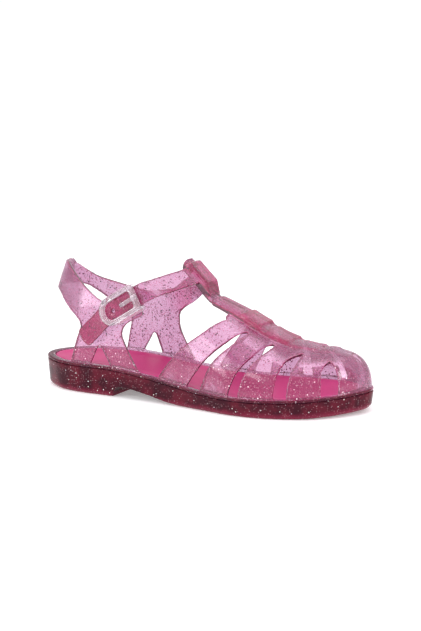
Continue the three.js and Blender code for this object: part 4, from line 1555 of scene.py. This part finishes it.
@dataclass(frozen=True)
class FootbedPink:
    """Opaque soft pink plastic with a fine grain, and a painted glow at its front that stands in for
    light through the clear cage.
    """

    colour: Colour = (0.60, 0.047, 0.203, 1)
    shade: Colour = (0.54, 0.040, 0.178, 1)
    # Colour of the painted glow at the footbed's front, in place of light through the clear cage.
    painted_front_glow: Colour = (0.90, 0.12, 0.38, 1)
    glow: float = 0.24
    glow_run: tuple[float, float] = (-0.01, 0.075)
    blot_size: float = 0.03
    grain_size: float = 0.0007
    bump: tuple[float, float] = (0.15, 0.0003)
    roughness: tuple[float, float] = (0.36, 0.46)
    specular: float = 0.15

    def material(self) -> bpy.types.Material:
        """Returns the footbed's material."""
        shader = Shader("footbed_pink")
        grain = shader.noise(self.grain_size, 1)
        # Mask of the painted glow, rising towards the toe.
        front = shader.along("X").ramp(*self.glow_run)
        blots = shader.noise(self.blot_size).ramp(0.35, 0.65)
        surface = shader.plastic(
            {
                "Base Color": shader.blend(blots, self.shade, self.colour),
                "Roughness": grain.ramp(0.2, 0.8, *self.roughness),
                "Specular IOR Level": self.specular,
                # Painted glow at the front, where light through the cage should brighten the footbed.
                "Emission Color": shader.blend(front, BLACK, self.painted_front_glow),
                "Emission Strength": self.glow,
                "Normal": shader.bumps(*self.bump, grain),
            }
        )
        return shader.finish(surface)


@dataclass(frozen=True)
class ClearJelly:
    """Clear pink plastic with glitter in it: deeper in colour where there is more of it."""

    thin_film: Colour = (0.735, 0.572, 0.695, 1)
    thick_film: Colour = (0.61, 0.11, 0.32, 1)
    thin_body: Colour = (0.78, 0.11, 0.28, 1)
    thick_body: Colour = (0.42, 0.013, 0.09, 1)
    edge_body: Colour = (0.05, 0.005, 0.024, 1)
    speck: Colour = (0.03, 0.008, 0.03, 1)
    sparkle: Colour = (1.0, 0.93, 0.97, 1)
    depths: tuple[float, float] = (2.9, 7.4)
    specks: Flakes = Flakes(0.0023, 0.24, 0.52, 11.0)
    dust: Flakes = Flakes(0.0013, 0.30, 0.55, 23.0)
    stars: Flakes = Flakes(0.0029, 0.15, 0.5, 31.0)
    mist: Flakes = Flakes(0.0012, 0.27, 0.6, 43.0)
    star_heights: tuple[float, float] = (0.022, 0.052)
    star_sides: tuple[float, float] = (-0.012, 0.012)
    cover: float = 0.21
    thick_cover: float = 0.26
    line_cover: float = 0.75
    edge_cover: float = 0.42
    star_cover: float = 0.8
    mist_cover: float = 0.3
    line_share: float = 0.9
    mist_share: float = 0.7
    speck_gain: float = 1.8
    dust_gain: float = 0.7
    bump: tuple[float, float, float] = (0.25, 0.0008, 0.009)
    roughness: float = 0.3
    # Strength of the painted glint that the white stars give off.
    glow: float = 0.35
    gloss: float = 0.75
    gloss_roughness: float = 0.14
    rim_lift: float = 9.0

    def material(self) -> bpy.types.Material:
        """Returns the upper's material."""
        shader = Shader("clear_pink_jelly")
        depth, line, welt = (shader.kept(name) for name in ("depth", "line", "welt"))
        thick = depth.ramp(*self.depths)
        low = shader.along("Z").ramp(*self.star_heights, 1.0, 0.25)
        low = low * shader.along("Y").ramp(*self.star_sides, 1.0, 0.3)
        kinds = (self.specks, self.dust, self.stars, self.mist)
        specks, dust, stars, mist = (shader.scatter(kind)[0] for kind in kinds)
        specks = self.speck_gain * (specks * (1.25 - low))
        dust = self.dust_gain * (dust * (1.2 - low))
        stars, mist = stars * low, mist * low
        body = shader.blend(thick, self.thin_body, self.thick_body)
        body = shader.blend(line * self.line_share, body, self.edge_body)
        body = shader.blend(dust, body, self.speck)
        body = shader.blend(mist * self.mist_share, body, self.sparkle)
        body = shader.blend(specks, body, self.speck)
        body = shader.blend(stars, body, self.sparkle)
        shut = self.cover + self.thick_cover * thick + self.line_cover * line
        shut = shut + self.edge_cover * shader.edge().ramp(0.72, 1.0)
        shut = shut + specks + dust + self.star_cover * stars + self.mist_cover * mist
        strength, distance, size = self.bump
        facing = {"Normal": shader.bumps(strength, distance, shader.noise(size))}
        sockets = {
            "Base Color": body,
            "Roughness": self.roughness,
            # Painted glint: the white stars glow, though they are no lamp.
            "Emission Color": shader.blend(stars, BLACK, self.sparkle),
            "Emission Strength": self.glow,
        }
        solid = shader.plastic({**sockets, **facing})
        film = shader.layer(thick, shader.film(self.thin_film), shader.film(self.thick_film))
        clear = shader.layer(shut.ramp(0.0, 1.0), film, solid)
        coated = shader.coated(self.gloss, clear, self.gloss_roughness, facing)
        rim = SoleGlitter().surface(shader, welt * self.rim_lift)
        return shader.finish(shader.layer(welt, coated, rim))


@dataclass(frozen=True)
class ClearBuckle:
    """Colourless clear plastic, milky at its edges."""

    film: Colour = (0.98, 0.95, 0.97, 1)
    body: Colour = (0.88, 0.78, 0.84, 1)
    milk: Colour = (0.95, 0.88, 0.92, 1)
    haze_size: float = 0.004
    haze_cover: tuple[float, float] = (0.10, 0.2)
    edge_cover: float = 0.5
    roughness: float = 0.22
    gloss_roughness: float = 0.08

    def material(self) -> bpy.types.Material:
        """Returns the buckle's material."""
        shader = Shader("clear_buckle_plastic")
        haze = shader.noise(self.haze_size)
        colour = shader.blend(haze, self.body, self.milk)
        solid = shader.plastic({"Base Color": colour, "Roughness": self.roughness})
        edge = shader.edge().ramp(0.5, 0.95)
        shut = haze.ramp(0.3, 0.7, *self.haze_cover) + self.edge_cover * edge
        clear = shader.layer(shut, shader.film(self.film), solid)
        return shader.finish(shader.coated(1.0, clear, self.gloss_roughness, {}))


@dataclass(frozen=True)
class Studio:
    """The pale floor, the soft lights and the camera of the photograph."""

    azimuth: float = 30.0
    elevation: float = 10.88
    distance: float = 1300.0
    aim_right: float = 6.37
    aim_up: float = 55.97
    roll: float = -0.84
    focal_pixels: float = 1872.0
    image_height: float = 631.0
    sensor: float = 36.0
    floor_size: float = 60.0
    floor_glow: float = 0.28
    floor_tones: tuple[Colour, Colour] = ((0.90, 0.90, 0.905, 1), (0.92, 0.92, 0.925, 1))
    sky: Colour = (0.96, 0.97, 1.0, 1)
    sky_strength: float = 0.85
    target: tuple[float, float, float] = (0, 0, 0.04)
    lamps: tuple[tuple, ...] = (
        ("overhead_box", (0.1, -0.1, 1.25), (1.6, 1.3), 8.0),
        ("heel_box", (-0.60, -1.00, 0.66), (0.40, 0.45), 2.2),
        ("low_side_box", (-0.77, -0.90, 0.27), (0.34, 0.20), 1.1),
        ("high_side_box", (-0.12, -1.00, 0.72), (0.30, 0.22), 1.1),
        ("toe_box", (1.075, -0.22, 0.54), (0.3, 0.42), 3.4),
        ("back_box", (0.2, 1.1, 0.68), (0.9, 0.4), 0.6),
    )

    def camera(self) -> None:
        """Places the camera."""
        azimuth, elevation, roll = map(math.radians, (self.azimuth, self.elevation, self.roll))
        level = math.cos(elevation)
        back = Vector((math.sin(azimuth) * level, -math.cos(azimuth) * level, math.sin(elevation)))
        right = Vector((math.cos(azimuth), math.sin(azimuth), 0))
        up = back.cross(right)
        place = back * self.distance + right * self.aim_right + up * self.aim_up
        turned_right = right * math.cos(roll) + up * math.sin(roll)
        turned_up = up * math.cos(roll) - right * math.sin(roll)
        data = bpy.data.cameras.new("photograph_view")
        data.sensor_fit = "AUTO"
        data.sensor_width = self.sensor
        data.lens = self.focal_pixels / self.image_height * self.sensor
        data.clip_start = 0.05
        data.clip_end = 200
        camera = linked("photograph_view", data)
        axes = Matrix((turned_right, turned_up, back)).transposed()
        camera.matrix_world = Matrix.Translation(place * MM) @ axes.to_4x4()
        bpy.context.scene.camera = camera

    def floor(self) -> None:
        """Lays the floor at the height of the ground."""
        half = self.floor_size / 2
        data = bpy.data.meshes.new("studio_floor")
        corners = [(-half, -half, 0), (half, -half, 0), (half, half, 0), (-half, half, 0)]
        data.from_pydata(corners, [], [(0, 1, 2, 3)])
        floor = linked("studio_floor", data)
        shader = Shader("studio_floor_white")
        surface = shader.plastic(
            {
                "Base Color": shader.blend(shader.noise(0.4), *self.floor_tones),
                "Roughness": 0.7,
                "Emission Color": (1, 1, 1, 1),
                "Emission Strength": self.floor_glow,
            }
        )
        data.materials.append(shader.finish(surface))

    def lamp(self, name: str, place: Sequence[float], size: Sequence[float], power: float) -> None:
        """Hangs one soft box that looks at the sandal.

        Args:
            name: The light's name.
            place: Where it hangs, in metres.
            size: Its width and height, in metres.
            power: Its power in watts.
        """
        data = bpy.data.lights.new(name, "AREA")
        data.shape = "RECTANGLE"
        data.size, data.size_y = size
        data.energy = power
        lamp = linked(name, data)
        lamp.location = place
        lamp.rotation_mode = "QUATERNION"
        lamp.rotation_quaternion = (Vector(self.target) - Vector(place)).to_track_quat("-Z", "Y")

    def lights(self) -> None:
        """Hangs the soft boxes and sets the even white around."""
        for lamp in self.lamps:
            self.lamp(*lamp)
        world = bpy.data.worlds.new("even_white")
        world.use_nodes = True
        inputs = world.node_tree.nodes["Background"].inputs
        inputs["Color"].default_value = self.sky
        inputs["Strength"].default_value = self.sky_strength
        bpy.context.scene.world = world
        bpy.context.scene.view_settings.view_transform = "Standard"


def dress(item: bpy.types.Object, material: bpy.types.Material, node: str) -> None:
    """Gives a piece its finish and puts it in the place of a CAD node.

    Args:
        item: The piece.
        material: Its finish.
        node: The CAD node that it stands for.
    """
    item.data.materials.clear()
    item.data.materials.append(material)
    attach(item, BODY)
    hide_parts(node)
    log.info("%s stands for %s", item.name, node)


def main() -> None:
    """Builds the sandal piece by piece and sets up the studio."""
    logging.basicConfig(level=logging.INFO, format="%(message)s")
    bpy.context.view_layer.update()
    studio = Studio()
    studio.camera()
    studio.floor()
    studio.lights()
    form = SoleForm()
    quarters = HeelQuarters(form)
    loop = StrapLoop(form)
    ring = BuckleFrame(form, quarters)
    strap = AnkleStrap(form, loop, ring)
    dress(Outsole(form).build(), SoleGlitter().material(), "outsole")
    dress(Insole(form).build(), FootbedPink().material(), "insole")
    upper = Upper(form, Vamp(form), loop, quarters, strap)
    dress(upper.build(), ClearJelly().material(), "upper")
    clear = ClearBuckle().material()
    dress(ring.build(), clear, "buckle_frame")
    dress(ring.build_prong(), clear, "buckle_prong")


if __name__ == "__main__":
    main()
